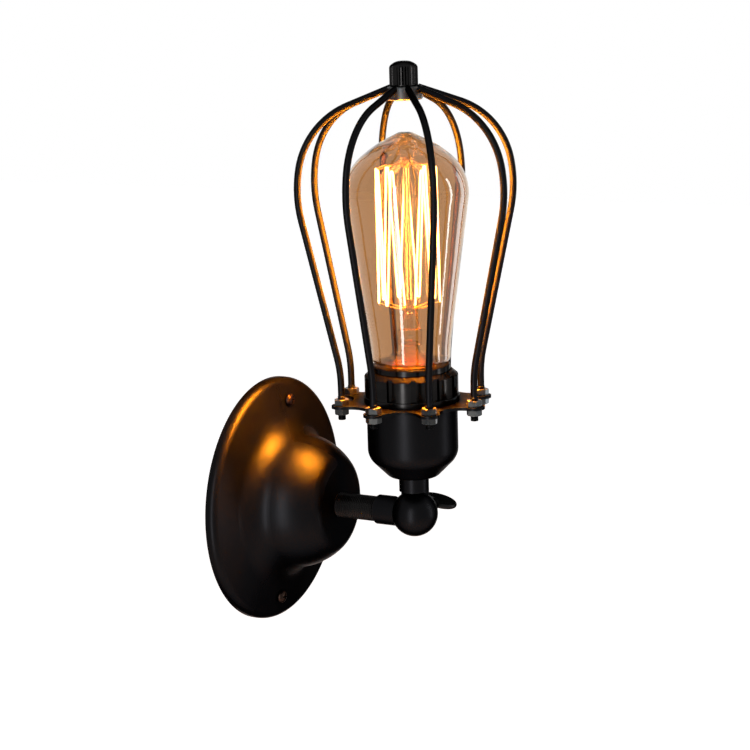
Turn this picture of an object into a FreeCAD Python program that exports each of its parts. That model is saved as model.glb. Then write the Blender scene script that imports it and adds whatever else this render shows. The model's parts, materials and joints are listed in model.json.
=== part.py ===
import FreeCAD
import Part

import math
import os

from FreeCAD import Vector

# Wall light with a wire cage.
#
# A round spun wall plate covers a crossbar that is screwed to the wall. A threaded arm tube
# stands out of the plate and ends in a swivel of two half balls, clamped by a thumb key. The
# upper half ball carries a cup with a lampholder, and a ring on the lampholder clamps the
# scalloped plate that eight cage wires stand on. The wires meet in a hub under a knurled knob.
#
# The origin is the centre of the wall plate's back, on the wall. The light stands out from the
# wall towards -Y, +Z is up and X runs along the wall. All lengths are in millimetres.
#
# "Depth" is the distance out from the wall. "Height" is measured above the centre of the swivel
# ball, along the lamp's own axis.

# ---- Fits ----
THREAD_GAP = 0.05           # radial gap between a screw thread and its nut
RUN_GAP = 0.08              # radial gap of a piece that is turned by hand
SWEEP_GAP = 0.3             # gap beside surfaces that turn past each other
FACE_GAP = 0.05             # gap between flat faces that turn on each other
OVERCUT = 1.0               # how far a cutting tool runs past a face

# ---- Common hardware ----
THREAD_CREST = 0.3          # share of the pitch that is the flat crest
NUT_CHAMFER = 30.0          # degrees
NUT_CHAMFER_EXTRA = 0.1     # radial reach of the chamfer inside the nut's flats
WASHER_TEETH = 12
TOOTH_ROOT = 0.82           # share of a washer's radius to the bottom of its teeth
SCREW_TIP = 0.4             # chamfer on a screw's end
SCREW_CROWN = 0.45          # share of a screw head's height that is domed
RECESS_SPAN = 1.1           # width of the cross recess over the head's radius
RECESS_WIDTH = 0.9
RECESS_DEPTH = 1.3

# ---- Wall plate ----
PLATE_RADIUS = 65.0
PLATE_RIM_DEPTH = 5.5
PLATE_FOOT_RADIUS = 37.4    # where the flange turns up into the dome
PLATE_FOOT_DEPTH = 10.8
PLATE_SHOULDER_RADIUS = 33.6
PLATE_SHOULDER_DEPTH = 31.7
PLATE_FACE_RADIUS = 23.2
PLATE_DEPTH = 42.4
PLATE_WALL = 1.2
PLATE_RIM_BEND = 4.0
PLATE_FOOT_BEND = 14.8
PLATE_SHOULDER_BEND = 36.0
PLATE_FACE_BEND = 9.0

# ---- Crossbar and its screws ----
STRAP_WIDTH = 18.0
STRAP_THICKNESS = 2.0
STRAP_RAISED_RUN = 13.0     # from a plate screw to the stretch that lies on the wall
STRAP_JOGGLE_RUN = 6.0
STRAP_END_MARGIN = 6.0      # from a plate screw to the strap's end
STRAP_PLATE_GAP = 0.4       # least gap between the strap's end and the flange
STRAP_TURN = 8.4            # degrees, as the light hangs
WALL_HOLE_SPACING = 60.0
WALL_HOLE_RADIUS = 2.75
CABLE_HOLE_RADIUS = 5.5
PLATE_SCREW_INSET = 12.0    # from the plate's edge to a plate screw
PLATE_SCREW_RADIUS = 2.0
PLATE_SCREW_CLEARANCE = 0.3
PLATE_SCREW_PROUD = 1.2     # how far a plate screw stands behind the strap's end
SCREW_HEAD_RADIUS = 3.5
SCREW_HEAD_HEIGHT = 2.4
EARTH_SCREW_PLACE = -20.0   # along the strap
EARTH_WASHER_RADIUS = 5.0
EARTH_WASHER_THICKNESS = 1.0

# ---- Terminal block ----
TERMINAL_PLACE = 17.0       # along the strap
TERMINAL_LENGTH = 11.0
TERMINAL_POLE_PITCH = 8.0
TERMINAL_POLES = 2
TERMINAL_HEIGHT = 12.0
TERMINAL_BODY_SHARE = 0.62  # share of the height that is the block between the towers
TERMINAL_TOWER_RADIUS = 3.36
TERMINAL_WIRE_RADIUS = 1.6
TERMINAL_SLEEVE_WALL = 0.9
TERMINAL_SCREW_RADIUS = 1.5
TERMINAL_SCREW_SUNK = 1.5   # screw head below the top of its tower
TERMINAL_SLOT_WIDTH = 0.6
TERMINAL_SLOT_DEPTH = 0.8

# ---- Arm ----
ARM_RADIUS = 6.6
ARM_BORE_RADIUS = 4.7
ARM_PITCH = 1.0
ARM_THREAD_DEPTH = 0.35
ARM_NUT_WIDTH = 19.0
ARM_NUT_THICKNESS = 3.5
ARM_WASHER_RADIUS = 9.5
ARM_WASHER_THICKNESS = 0.8
ARM_TAIL = 2.5              # tube beyond the last nut
ARM_ENGAGEMENT = 8.0        # tube inside the swivel's socket

# ---- Swivel ----
REACH = 86.7                # wall to the lamp's axis
BALL_RADIUS = 12.0
NECK_RADIUS = 7.7
NECK_SHOULDER = 12.3        # from the ball's centre to the full round of a neck
SOCKET_LENGTH = 8.7         # full round of the neck on the arm's side
HEAD_NECK_LENGTH = 7.9      # full round of the neck under the cup
CHAMBER_RADIUS = 9.0
CHAMBER_DEPTH = 6.0
PIVOT_BOSS_RADIUS = 4.2
LEAD_WAY_RADIUS = 2.2
LEAD_WAY_OFFSET = 3.6
KEY_SHANK_RADIUS = 2.5
KEY_SEAT = 10.6             # flat on the ball for the washer
KEY_WASHER_RADIUS = 5.2
KEY_WASHER_THICKNESS = 0.8
KEY_STEM_RADIUS = 3.6
KEY_STEM_FLARE = 0.9        # extra radius at the washer
KEY_STEM_OVERLAP = 2.0      # how far the stem runs into the blade
KEY_STEM_LENGTH = 9.35
KEY_BLADE_HALF_WIDTH = 8.2
KEY_BLADE_HALF_LENGTH = 10.2
KEY_BLADE_THICKNESS = 2.6
KEY_BLADE_ROUND = 0.98      # share of the half thickness that is rounded off
KEY_BLADE_DROP = 13.0       # degrees, as the key was left
KEY_SHANK_REACH = 8.0       # how far the shank goes into the arm's half ball

# ---- Cup and its fixing ----
CUP_RADIUS = 23.3
CUP_TOP = 58.5
CUP_WALL = 1.0
CUP_CONE_FOOT_RADIUS = 12.5
CUP_CONE_TOP = 31.0
CUP_FOOT_BEND = 4.0
CUP_SIDE_BEND = 10.0
NIPPLE_RADIUS = 5.0
NIPPLE_BORE_RADIUS = 3.9
NIPPLE_TOP = 36.0
NIPPLE_SEAT = 1.0           # neck below the hole for the nipple
NIPPLE_FOOT_GAP = 0.2       # nipple's end above its seat
NIPPLE_PITCH = 1.0
NIPPLE_THREAD_DEPTH = 0.3
NIPPLE_NUT_WIDTH = 14.0
NIPPLE_NUT_THICKNESS = 3.0
NIPPLE_WASHER_RADIUS = 8.2
NIPPLE_WASHER_THICKNESS = 0.8

# ---- Lampholder ----
HOLDER_CAP_BOTTOM = 31.0
HOLDER_CAP_RADIUS = 20.0
HOLDER_CAP_FLOOR = 3.0
HOLDER_CAP_HEEL = 6.0       # size of the sloping edge at the cap's bottom
HOLDER_CAP_BEND = 5.0
HOLDER_FLOOR_CORNER = 3.0   # slope inside the cap, along the floor
HOLDER_FLOOR_RISE = 2.0     # the same slope, upwards
HOLDER_CAP_SHOULDER = 42.0
HOLDER_SPIGOT_RADIUS = 18.0
HOLDER_SPIGOT_TOP = 48.0
HOLDER_SPIGOT_BORE = 16.0
INSERT_BOTTOM = 40.0
INSERT_FLANGE = 2.5
INSERT_RECESS_RADIUS = 9.0
INSERT_RECESS_DEPTH = 2.0
SKIRT_RADIUS = 20.0
SKIRT_TOP = 79.0
SKIRT_MOUTH_RADIUS = 14.3
SKIRT_LIP = 2.5
SKIRT_BORE = 16.8
SKIRT_FLANGE_RADIUS = 21.8
SKIRT_FLANGE = 2.2
SKIRT_EDGE_BEND = 0.8
SKIRT_MOUTH_BEND = 0.6
SHELL_WALL = 0.5
SHELL_TOP = 74.5
CONTACT_WIDTH = 6.0
CONTACT_THICKNESS = 0.5
CONTACT_INSET = 1.0         # contact's leg inside the recess
CONTACT_REACH = 2.0         # tongue beyond the lamp's axis
CONTACT_FOOT = 4.0
SHELL_NECK_BEND = 0.5
CLAMP_OFFSET = 9.5
CLAMP_SIZE = 5.0
CLAMP_HEIGHT = 6.0
CLAMP_HOLE_RADIUS = 1.2
CLAMP_HOLE_RISE = 2.4

# ---- Cage plate and nuts ----
CAGE_WIRES = 8
CAGE_TURN = -3.7            # degrees from +X to a wire
CAGE_CIRCLE = 36.7          # radius of the circle of wires at the plate
CAGE_PLATE_THICKNESS = 1.5
LOBE_RADIUS = 5.2
SCALLOP_RADIUS = 30.0       # from the lamp's axis to a scallop's deepest point
CAGE_NUT_WIDTH = 7.0
CAGE_NUT_THICKNESS = 3.2
CAGE_NUT_TURN = 30.0        # degrees, first nut as it was left
CAGE_NUT_TURN_STEP = 37.0   # degrees from one nut to the next

# ---- Cage wires ----
WIRE_RADIUS = 1.75
WIRE_THREAD_RADIUS = 2.0
WIRE_THREAD_PITCH = 0.7
WIRE_TAIL = 2.8             # wire below its lower nut
WIRE_THREAD_ABOVE = 1.5     # thread above its upper nut
WIRE_BEND_HEIGHT = 77.4
WIRE_WAIST_BEND = 65.0
WIRE_BELLY_RADIUS = 56.8
WIRE_BELLY_HEIGHT = 166.8
WIRE_BELLY_BEND = 64.0
WIRE_SHOULDER_RADIUS = 51.2
WIRE_SHOULDER_HEIGHT = 203.0
WIRE_SHOULDER_BEND = 40.0
WIRE_END_RADIUS = 7.4
WIRE_END_HEIGHT = 218.73

# ---- Hub and knob ----
HUB_RADIUS = 9.35
HUB_DROP = 5.93             # hub below the middle of a wire's end
HUB_HEIGHT = 6.7
HUB_EDGE = 0.6
STUD_RADIUS = 2.5
STUD_LENGTH = 6.0
KNOB_RADIUS = 7.15
KNOB_HEIGHT = 12.4
KNOB_DOME = 2.4
KNOB_FOOT_BEND = 0.5
KNOB_FLAT = 0.5             # share of the radius where the top turns flat
KNOB_FLUTES = 30
KNOB_FLUTE_DEPTH = 0.45
KNOB_FLUTE_FOOT = 0.8
KNOB_FLUTE_OFFSET = 0.135   # flute's middle outside the knob's radius

# ---- Shade ring ----
RING_FLANGE_RADIUS = 24.6
RING_FLANGE = 3.2
RING_RADIUS = 24.0
RING_RIB_TOP = 73.4
RING_TOP = 75.6
RING_TOP_RADIUS = 21.4
RING_RIBS = 12
RING_GROOVE_WIDTH = 3.0
RING_GROOVE_DEPTH = 1.2
RING_EDGE_BEND = 0.8
RING_TOP_BEND = 0.6

# ---- Bulb ----
BULB_TURN = 209.0           # degrees from +X to the side of the leads, as the bulb is screwed in
BULB_TIP = 196.8
BULB_TIP_RADIUS = 3.0       # rounded end where the glass was sealed
BULB_TIP_BEND = 5.0
BULB_SHOULDER_RADIUS = 16.0
BULB_SHOULDER_HEIGHT = 190.3
BULB_SHOULDER_BEND = 50.0
BULB_BELLY_RADIUS = 33.1
BULB_BELLY_HEIGHT = 176.4
BULB_BELLY_BEND = 25.0
BULB_NECK_RADIUS = 20.3
BULB_NECK_HEIGHT = 86.9
BULB_NECK_BEND = 78.0
BULB_HEEL_HEIGHT = 80.2
BULB_HEEL_BEND = 3.0
BULB_THROAT_RADIUS = 12.6
BULB_THROAT_BEND = 1.5
BULB_GLASS_BOTTOM = 76.6
BULB_GLASS_WALL = 0.9
CAP_THREAD_RADIUS = 13.1
CAP_ROOT_RADIUS = 12.1
CAP_PITCH = 3.63
CAP_TURNS = 5
CAP_THREAD_BOTTOM = 55.5
CAP_COLLAR_RADIUS = 13.5
CAP_COLLAR_RISE = 2.0
CAP_COLLAR_BEND = 0.8
CAP_NECK = 0.6              # plain neck between the thread and the collar
CAP_NECK_BEND = 0.4
CAP_FOOT = 1.0              # cap below its thread
CAP_TOP = 78.4
CAP_WALL = 0.3
CAP_CLEARANCE = 0.3         # radial gap between the bulb's thread and the lampholder's
INSULATOR_BOTTOM = 53.0
INSULATOR_MARGIN = 1.2      # insulator round the contact
INSULATOR_PLUG = 1.5        # insulator inside the cap
INSULATOR_BEND = 0.5
INSULATOR_GAP = 0.4         # below the cap's edge
BULB_CONTACT_RADIUS = 4.8
BULB_CONTACT_THICKNESS = 1.3
BULB_CONTACT_EDGE = 0.4
BULB_CONTACT_FLAT = 0.5     # share of the contact's radius that is flat
BULB_CONTACT_BEND = 0.3
CEMENT_RADIUS = 11.7
CEMENT_BOTTOM = 73.9
CEMENT_HOLE_RADIUS = 2.5
STEM_FLARE_RADIUS = 11.0
STEM_TUBE_RADIUS = 4.6
STEM_WALL = 0.9
STEM_FOOT = 1.5
STEM_FOOT_BEND = 1.0
STEM_WAIST_BEND = 8.0
STEM_OVERLAP = 2.0          # glass pieces melted into each other
STEM_WAIST_HEIGHT = 85.0
PINCH_BOTTOM = 88.0
PINCH_TOP = 97.1
PINCH_WIDTH = 12.5
PINCH_THICKNESS = 4.0
PINCH_BEND = 1.6
EXHAUST_RADIUS = 1.3
EXHAUST_HEIGHT = 92.5
ROD_RADIUS = 1.6
ROD_TOP = 181.0
ROD_BUTTON_RADIUS = 2.6
FILAMENT_STRANDS = 18
FILAMENT_RADIUS = 0.25
FILAMENT_CIRCLE = 15.5
FILAMENT_LOOP = 1.2         # width of the loop over a support
FILAMENT_BEND = 0.48
WIRE_CLEAR = 1.1            # spacing of two touching wires over the sum of their radii
FILAMENT_BOTTOM = 111.5
FILAMENT_TOP = 178.0
HOOK_RADIUS = 0.25
BUTTON_DROP = 4.5           # lower button below the strands
HOOK_RISE = 2.25            # bend of a hook above its end
HOOK_FREE = 0.025           # hook's start outside its button
HOOK_KNEE = 0.6             # share of the way out to the filament
HOOK_BEND = 2.0
LEAD_RADIUS = 0.4
LEAD_SPREAD = 4.6
LEAD_KNEE = 0.75            # share of the way from the pinch to the filament
LEAD_SAG = 2.0
LEAD_RISE = 1.5
LEAD_BEND = 1.5

# ---- Sizes that follow from the ones above ----
UP = Vector(0, 0, 1)
ACROSS = Vector(1, 0, 0)
LAMP_AT = Vector(0, -REACH, 0)
CAGE_STEP = 360.0 / CAGE_WIRES
PLATE_FLANGE_SLOPE = (PLATE_FOOT_DEPTH - PLATE_RIM_DEPTH) / (PLATE_RADIUS - PLATE_FOOT_RADIUS)
PLATE_SCREW_CIRCLE = PLATE_RADIUS - PLATE_SCREW_INSET
STRAP_HALF = PLATE_SCREW_CIRCLE + STRAP_END_MARGIN
STRAP_FLAT_HALF = PLATE_SCREW_CIRCLE - STRAP_RAISED_RUN
CUP_BOTTOM = NECK_SHOULDER + HEAD_NECK_LENGTH
NIPPLE_FOOT = NECK_SHOULDER + NIPPLE_SEAT + NIPPLE_FOOT_GAP
HUB_BOTTOM = WIRE_END_HEIGHT - HUB_DROP
HUB_TOP = HUB_BOTTOM + HUB_HEIGHT
CAGE_PLATE_TOP = CUP_TOP + CAGE_PLATE_THICKNESS
INSERT_TOP = HOLDER_SPIGOT_TOP + INSERT_FLANGE
LOWER_BUTTON = FILAMENT_BOTTOM - BUTTON_DROP
RECESS_FLOOR = INSERT_TOP - INSERT_RECESS_DEPTH
SHELL_FOOT_RADIUS = CAP_THREAD_RADIUS + CAP_CLEARANCE + SHELL_WALL
FACE_INSIDE = PLATE_DEPTH - PLATE_WALL
SOCKET_MOUTH = REACH - NECK_SHOULDER - SOCKET_LENGTH
TERMINAL_MIDDLE = STRAP_THICKNESS + TERMINAL_HEIGHT / 2


# ---- Building blocks ----

def tube(outer, inner, low, high):
    """Upright tube about the Z axis."""
    solid = Part.makeCylinder(outer, high - low, Vector(0, 0, low))
    bore = Part.makeCylinder(inner, high - low + 2 * OVERCUT, Vector(0, 0, low - OVERCUT))
    return solid.cut(bore)


def corner_tangents(places, bends):
    """Tangent length of the bend at each place, shortened where two bends would meet."""
    sides = [after.sub(before).Length for before, after in zip(places, places[1:])]
    tangents = [0.0]
    for i in range(1, len(places) - 1):
        half = places[i - 1].sub(places[i]).getAngle(places[i + 1].sub(places[i])) / 2
        tangents.append(bends[i] / math.tan(half) if half > 0.01 else 0.0)
    tangents.append(0.0)
    shares = [1.0] * len(places)
    for i, side in enumerate(sides):
        share = min(1.0, 0.999 * side / max(tangents[i] + tangents[i + 1], 1e-9))
        shares[i] = min(shares[i], share)
        shares[i + 1] = min(shares[i + 1], share)
    return [tangent * share for tangent, share in zip(tangents, shares)]


def bent_path(places, bends):
    """Wire of straight runs through places, joined by tangent arcs with the given radii."""
    tangents = corner_tangents(places, bends)
    edges = []
    start = places[0]
    for i in range(1, len(places)):
        back = places[i - 1].sub(places[i]).normalize()
        stop = places[i] + back * tangents[i]
        if stop.sub(start).Length > 1e-6:
            edges.append(Part.LineSegment(start, stop).toShape())
        start = stop
        if tangents[i] > 1e-6:
            onward = places[i + 1].sub(places[i]).normalize()
            leave = places[i] + onward * tangents[i]
            half = back.getAngle(onward) / 2
            bend = tangents[i] * math.tan(half)
            inward = (back + onward).normalize()
            middle = places[i] + inward * (bend / math.sin(half) - bend)
            edges.append(Part.Arc(stop, middle, leave).toShape())
            start = leave
    return Part.Wire(edges)


def outline_wire(points):
    """Wire in the XZ plane through (x, z, bend) points."""
    return bent_path([Vector(x, 0, z) for x, z, bend in points], [bend for x, z, bend in points])


def turned(points):
    """Solid turned about Z from a closed outline of (radius, height, bend) points."""
    start = (points[0][0], points[0][1], 0)
    wire = outline_wire([start] + list(points[1:]) + [start])
    return Part.Face(wire).revolve(Vector(), UP, 360)


def offset_points(points, distance):
    """Outline moved sideways by a distance to its right, with its bends kept concentric."""
    moved = []
    for i, (x, y, bend) in enumerate(points):
        before = Vector(*points[max(i - 1, 0)][:2], 0)
        here = Vector(x, y, 0)
        after = Vector(*points[min(i + 1, len(points) - 1)][:2], 0)
        arrive = here.sub(before) if i else after.sub(here)
        leave = after.sub(here) if i < len(points) - 1 else arrive
        arrive = arrive.normalize()
        leave = leave.normalize()
        normal = Vector(arrive.y + leave.y, -arrive.x - leave.x, 0).normalize()
        mitre = distance / max(normal.dot(Vector(leave.y, -leave.x, 0)), 0.2)
        turn_side = arrive.cross(leave).z
        new_bend = bend + distance * math.copysign(1, turn_side) if bend else 0
        spot = here + normal * mitre
        moved.append((spot.x, spot.y, max(new_bend, 0)))
    return moved


def turned_sheet(points, wall):
    """Sheet of even thickness turned about Z; the wall lies to the right of the outline."""
    inner = offset_points(points, wall)
    return turned(list(points) + inner[::-1])


def thread_points(outer, depth, low, high, pitch):
    """Ridges of a thread from low to high, as outline points."""
    turns = max(1, int((high - low) / pitch))
    step = (high - low) / turns
    points = []
    for i in range(turns):
        root = low + i * step
        points.append((outer - depth, root, 0))
        points.append((outer, root + (1 - THREAD_CREST) / 2 * step, 0))
        points.append((outer, root + (1 + THREAD_CREST) / 2 * step, 0))
    points.append((outer - depth, high, 0))
    return points


def hex_nut(width, thickness, hole, low):
    """Six-sided nut about Z with both faces chamfered."""
    corner = width / math.sqrt(3)
    ring = [Vector(corner * math.cos(math.radians(60 * i)), corner * math.sin(math.radians(60 * i)), low)
            for i in range(7)]
    solid = Part.Face(Part.makePolygon(ring)).extrude(Vector(0, 0, thickness))
    chamfer = corner - width / 2 + NUT_CHAMFER_EXTRA
    rise = chamfer * math.tan(math.radians(NUT_CHAMFER))
    barrel = turned([
        (0, low, 0), (corner - chamfer, low, 0), (corner, low + rise, 0),
        (corner, low + thickness - rise, 0), (corner - chamfer, low + thickness, 0),
        (0, low + thickness, 0)])
    solid = solid.common(barrel)
    return solid.cut(Part.makeCylinder(hole, thickness + 2 * OVERCUT, Vector(0, 0, low - OVERCUT)))


def toothed_washer(radius, hole, thickness, low):
    """Flat lock washer with teeth on its outer edge."""
    solid = tube(radius, hole, low, low + thickness)
    notch_width = math.pi * radius / WASHER_TEETH
    notch = Part.makeBox(radius, notch_width, thickness + 2 * OVERCUT,
                         Vector(TOOTH_ROOT * radius, -notch_width / 2, low - OVERCUT))
    for i in range(WASHER_TEETH):
        cut = notch.copy()
        cut.rotate(Vector(), UP, 360.0 * i / WASHER_TEETH)
        solid = solid.cut(cut)
    return solid


def round_head_screw(head_radius, head_height, shank_radius, shank_length):
    """Cross-recessed screw about Z: its head stands up from 0 and its shank goes down."""
    crown = SCREW_CROWN * head_height
    solid = turned([
        (0, -shank_length, 0), (shank_radius - SCREW_TIP, -shank_length, 0),
        (shank_radius, -shank_length + SCREW_TIP, 0), (shank_radius, 0, 0), (head_radius, 0, 0),
        (head_radius, head_height - crown, head_height),
        (SCREW_CROWN * head_radius, head_height, head_radius),
        (0, head_height, 0)])
    for angle in (0, 90):
        slot = Part.makeBox(RECESS_SPAN * head_radius, RECESS_WIDTH, RECESS_DEPTH + OVERCUT,
                            Vector(-RECESS_SPAN * head_radius / 2, -RECESS_WIDTH / 2,
                                   head_height - RECESS_DEPTH))
        slot.rotate(Vector(), UP, angle)
        solid = solid.cut(slot)
    return solid


def off_wall(shape):
    """Turn a shape built upwards about Z so that it stands out from the wall about -Y."""
    shape.rotate(Vector(), ACROSS, 90)
    return shape


def on_lamp(shape):
    """Move a shape built about Z to the lamp's axis."""
    shape.translate(LAMP_AT)
    return shape


def in_bulb(shape):
    """Turn a piece of the bulb's inside, built with its leads towards +X, and move it to the lamp."""
    shape.rotate(Vector(), UP, BULB_TURN)
    return on_lamp(shape)


def along_strap(shape):
    """Turn a shape from the upright strap line to the strap as it hangs."""
    shape.rotate(Vector(), Vector(0, 1, 0), STRAP_TURN)
    return shape


def rod(start, end, radius):
    """Round rod between two points."""
    run = end.sub(start)
    return Part.makeCylinder(radius, run.Length, start, run)


def bent_rod(places, bend, radius):
    """Round rod through places, with bends of one radius."""
    ring = Part.Wire(Part.makeCircle(radius, places[0], places[1].sub(places[0])))
    return bent_path(places, [bend] * len(places)).makePipeShell([ring], True, False)


def at_angle(radius, angle, height):
    """Point at a radius and an angle in degrees about Z."""
    turn = math.radians(angle)
    return Vector(radius * math.cos(turn), radius * math.sin(turn), height)


def flange_depth(radius):
    """Depth of the wall plate's outer face on its sloping flange."""
    return PLATE_RIM_DEPTH + (PLATE_RADIUS - radius) * PLATE_FLANGE_SLOPE


# ---- Wall side ----

STRAP_FRONT = (flange_depth(STRAP_HALF) - PLATE_WALL * math.hypot(1, PLATE_FLANGE_SLOPE)
               - STRAP_PLATE_GAP)
SCREW_SEAT = flange_depth(PLATE_SCREW_CIRCLE - SCREW_HEAD_RADIUS)


def make_canopy():
    outline = [
        (PLATE_RADIUS, 0, 0),
        (PLATE_RADIUS, PLATE_RIM_DEPTH, PLATE_RIM_BEND),
        (PLATE_FOOT_RADIUS, PLATE_FOOT_DEPTH, PLATE_FOOT_BEND),
        (PLATE_SHOULDER_RADIUS, PLATE_SHOULDER_DEPTH, PLATE_SHOULDER_BEND),
        (PLATE_FACE_RADIUS, PLATE_DEPTH, PLATE_FACE_BEND),
        (ARM_RADIUS + THREAD_GAP, PLATE_DEPTH, 0)]
    solid = turned_sheet(outline, -PLATE_WALL)
    for side in (1, -1):
        hole = Part.makeCylinder(PLATE_SCREW_RADIUS + PLATE_SCREW_CLEARANCE, PLATE_DEPTH,
                                 Vector(0, side * PLATE_SCREW_CIRCLE, 0))
        solid = solid.cut(hole)
    return along_strap(off_wall(solid))


def make_wall_strap():
    front = STRAP_FRONT - STRAP_THICKNESS
    flat = STRAP_FLAT_HALF
    raised = STRAP_FLAT_HALF + STRAP_JOGGLE_RUN
    lower = [(-STRAP_HALF, front), (-raised, front), (-flat, 0), (flat, 0), (raised, front),
             (STRAP_HALF, front)]
    upper = [(place, depth + STRAP_THICKNESS) for place, depth in lower[::-1]]
    corners = [Vector(-STRAP_WIDTH / 2, place, depth) for place, depth in lower + upper]
    solid = Part.Face(Part.makePolygon(corners + corners[:1])).extrude(Vector(STRAP_WIDTH, 0, 0))
    tall = 2 * STRAP_FRONT
    holes = [(0, CABLE_HOLE_RADIUS), (EARTH_SCREW_PLACE, PLATE_SCREW_RADIUS + THREAD_GAP)]
    for side in (1, -1):
        holes.append((side * PLATE_SCREW_CIRCLE, PLATE_SCREW_RADIUS + THREAD_GAP))
        holes.append((side * WALL_HOLE_SPACING / 2, WALL_HOLE_RADIUS))
    for place, radius in holes:
        solid = solid.cut(Part.makeCylinder(radius, tall, Vector(0, place, -STRAP_FRONT / 2)))
    return along_strap(off_wall(solid))


def make_canopy_screws():
    shank = SCREW_SEAT - STRAP_FRONT + STRAP_THICKNESS + PLATE_SCREW_PROUD
    screws = []
    for side in (1, -1):
        screw = round_head_screw(SCREW_HEAD_RADIUS, SCREW_HEAD_HEIGHT, PLATE_SCREW_RADIUS, shank)
        screw.translate(Vector(0, side * PLATE_SCREW_CIRCLE, SCREW_SEAT))
        screws.append(along_strap(off_wall(screw)))
    return Part.makeCompound(screws)


def make_earth_screw():
    washer = tube(EARTH_WASHER_RADIUS, PLATE_SCREW_RADIUS + THREAD_GAP, 0, EARTH_WASHER_THICKNESS)
    screw = round_head_screw(SCREW_HEAD_RADIUS, SCREW_HEAD_HEIGHT, PLATE_SCREW_RADIUS,
                             STRAP_THICKNESS + EARTH_WASHER_THICKNESS)
    screw.translate(Vector(0, 0, EARTH_WASHER_THICKNESS))
    pieces = []
    for piece in (washer, screw):
        piece.translate(Vector(0, EARTH_SCREW_PLACE, STRAP_THICKNESS))
        pieces.append(along_strap(off_wall(piece)))
    return Part.makeCompound(pieces)


def terminal_poles():
    """Sideways place of each pole of the terminal block."""
    first = -(TERMINAL_POLES - 1) * TERMINAL_POLE_PITCH / 2
    return [first + i * TERMINAL_POLE_PITCH for i in range(TERMINAL_POLES)]


def terminal_sleeve(grow):
    """Metal sleeve of one pole, along the strap, made larger by grow."""
    outer = TERMINAL_WIRE_RADIUS + TERMINAL_SLEEVE_WALL + grow
    start = Vector(0, TERMINAL_PLACE - TERMINAL_LENGTH / 2, TERMINAL_MIDDLE)
    return Part.makeCylinder(outer, TERMINAL_LENGTH, start, Vector(0, 1, 0))


def make_terminal_block():
    wide = TERMINAL_POLES * TERMINAL_POLE_PITCH
    low = Vector(-wide / 2, TERMINAL_PLACE - TERMINAL_LENGTH / 2, STRAP_THICKNESS)
    solid = Part.makeBox(wide, TERMINAL_LENGTH, TERMINAL_HEIGHT * TERMINAL_BODY_SHARE, low)
    for place in terminal_poles():
        tower = Part.makeCylinder(TERMINAL_TOWER_RADIUS, TERMINAL_HEIGHT,
                                  Vector(place, TERMINAL_PLACE, STRAP_THICKNESS))
        solid = solid.fuse(tower)
    for place in terminal_poles():
        sleeve = terminal_sleeve(0)
        sleeve.translate(Vector(place, 0, 0))
        solid = solid.cut(sleeve)
        way = Part.makeCylinder(TERMINAL_SCREW_RADIUS + THREAD_GAP, TERMINAL_HEIGHT,
                                Vector(place, TERMINAL_PLACE, TERMINAL_MIDDLE))
        solid = solid.cut(way)
    return along_strap(off_wall(solid.removeSplitter()))


def make_terminal_sleeves():
    pieces = []
    for place in terminal_poles():
        bore = Part.makeCylinder(TERMINAL_WIRE_RADIUS, TERMINAL_LENGTH + 2 * OVERCUT,
                                 Vector(0, TERMINAL_PLACE - TERMINAL_LENGTH / 2 - OVERCUT, TERMINAL_MIDDLE),
                                 Vector(0, 1, 0))
        foot = Vector(0, TERMINAL_PLACE, TERMINAL_MIDDLE)
        way = Part.makeCylinder(TERMINAL_SCREW_RADIUS + THREAD_GAP, TERMINAL_HEIGHT, foot)
        sleeve = terminal_sleeve(-FACE_GAP).cut(bore).cut(way)
        length = TERMINAL_HEIGHT / 2 - TERMINAL_SCREW_SUNK
        screw = Part.makeCylinder(TERMINAL_SCREW_RADIUS, length, foot)
        slot = Part.makeBox(2 * TERMINAL_SCREW_RADIUS + OVERCUT, TERMINAL_SLOT_WIDTH, OVERCUT,
                            Vector(-TERMINAL_SCREW_RADIUS - OVERCUT / 2,
                                   TERMINAL_PLACE - TERMINAL_SLOT_WIDTH / 2,
                                   TERMINAL_MIDDLE + length - TERMINAL_SLOT_DEPTH))
        for piece in (sleeve, screw.cut(slot)):
            piece.translate(Vector(place, 0, 0))
            pieces.append(along_strap(off_wall(piece)))
    return Part.makeCompound(pieces)


# ---- Arm ----

WELD_NUT_BACK = FACE_INSIDE - ARM_NUT_THICKNESS
WASHER_BACK = WELD_NUT_BACK - ARM_WASHER_THICKNESS
LOCK_NUT_BACK = WASHER_BACK - ARM_NUT_THICKNESS
ARM_BACK = LOCK_NUT_BACK - ARM_TAIL
ARM_FRONT = SOCKET_MOUTH + ARM_ENGAGEMENT


def make_arm_tube():
    outline = thread_points(ARM_RADIUS, ARM_THREAD_DEPTH, ARM_BACK, ARM_FRONT, ARM_PITCH)
    solid = turned([(ARM_BORE_RADIUS, ARM_BACK, 0)] + outline + [(ARM_BORE_RADIUS, ARM_FRONT, 0)])
    return off_wall(solid)


def make_arm_weld_nut():
    return off_wall(hex_nut(ARM_NUT_WIDTH, ARM_NUT_THICKNESS, ARM_RADIUS + THREAD_GAP, WELD_NUT_BACK))


def make_arm_washer():
    return off_wall(toothed_washer(ARM_WASHER_RADIUS, ARM_RADIUS + THREAD_GAP, ARM_WASHER_THICKNESS,
                                   WASHER_BACK))


def make_arm_lock_nut():
    return off_wall(hex_nut(ARM_NUT_WIDTH, ARM_NUT_THICKNESS, ARM_RADIUS + THREAD_GAP, LOCK_NUT_BACK))


# ---- Swivel ----

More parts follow.
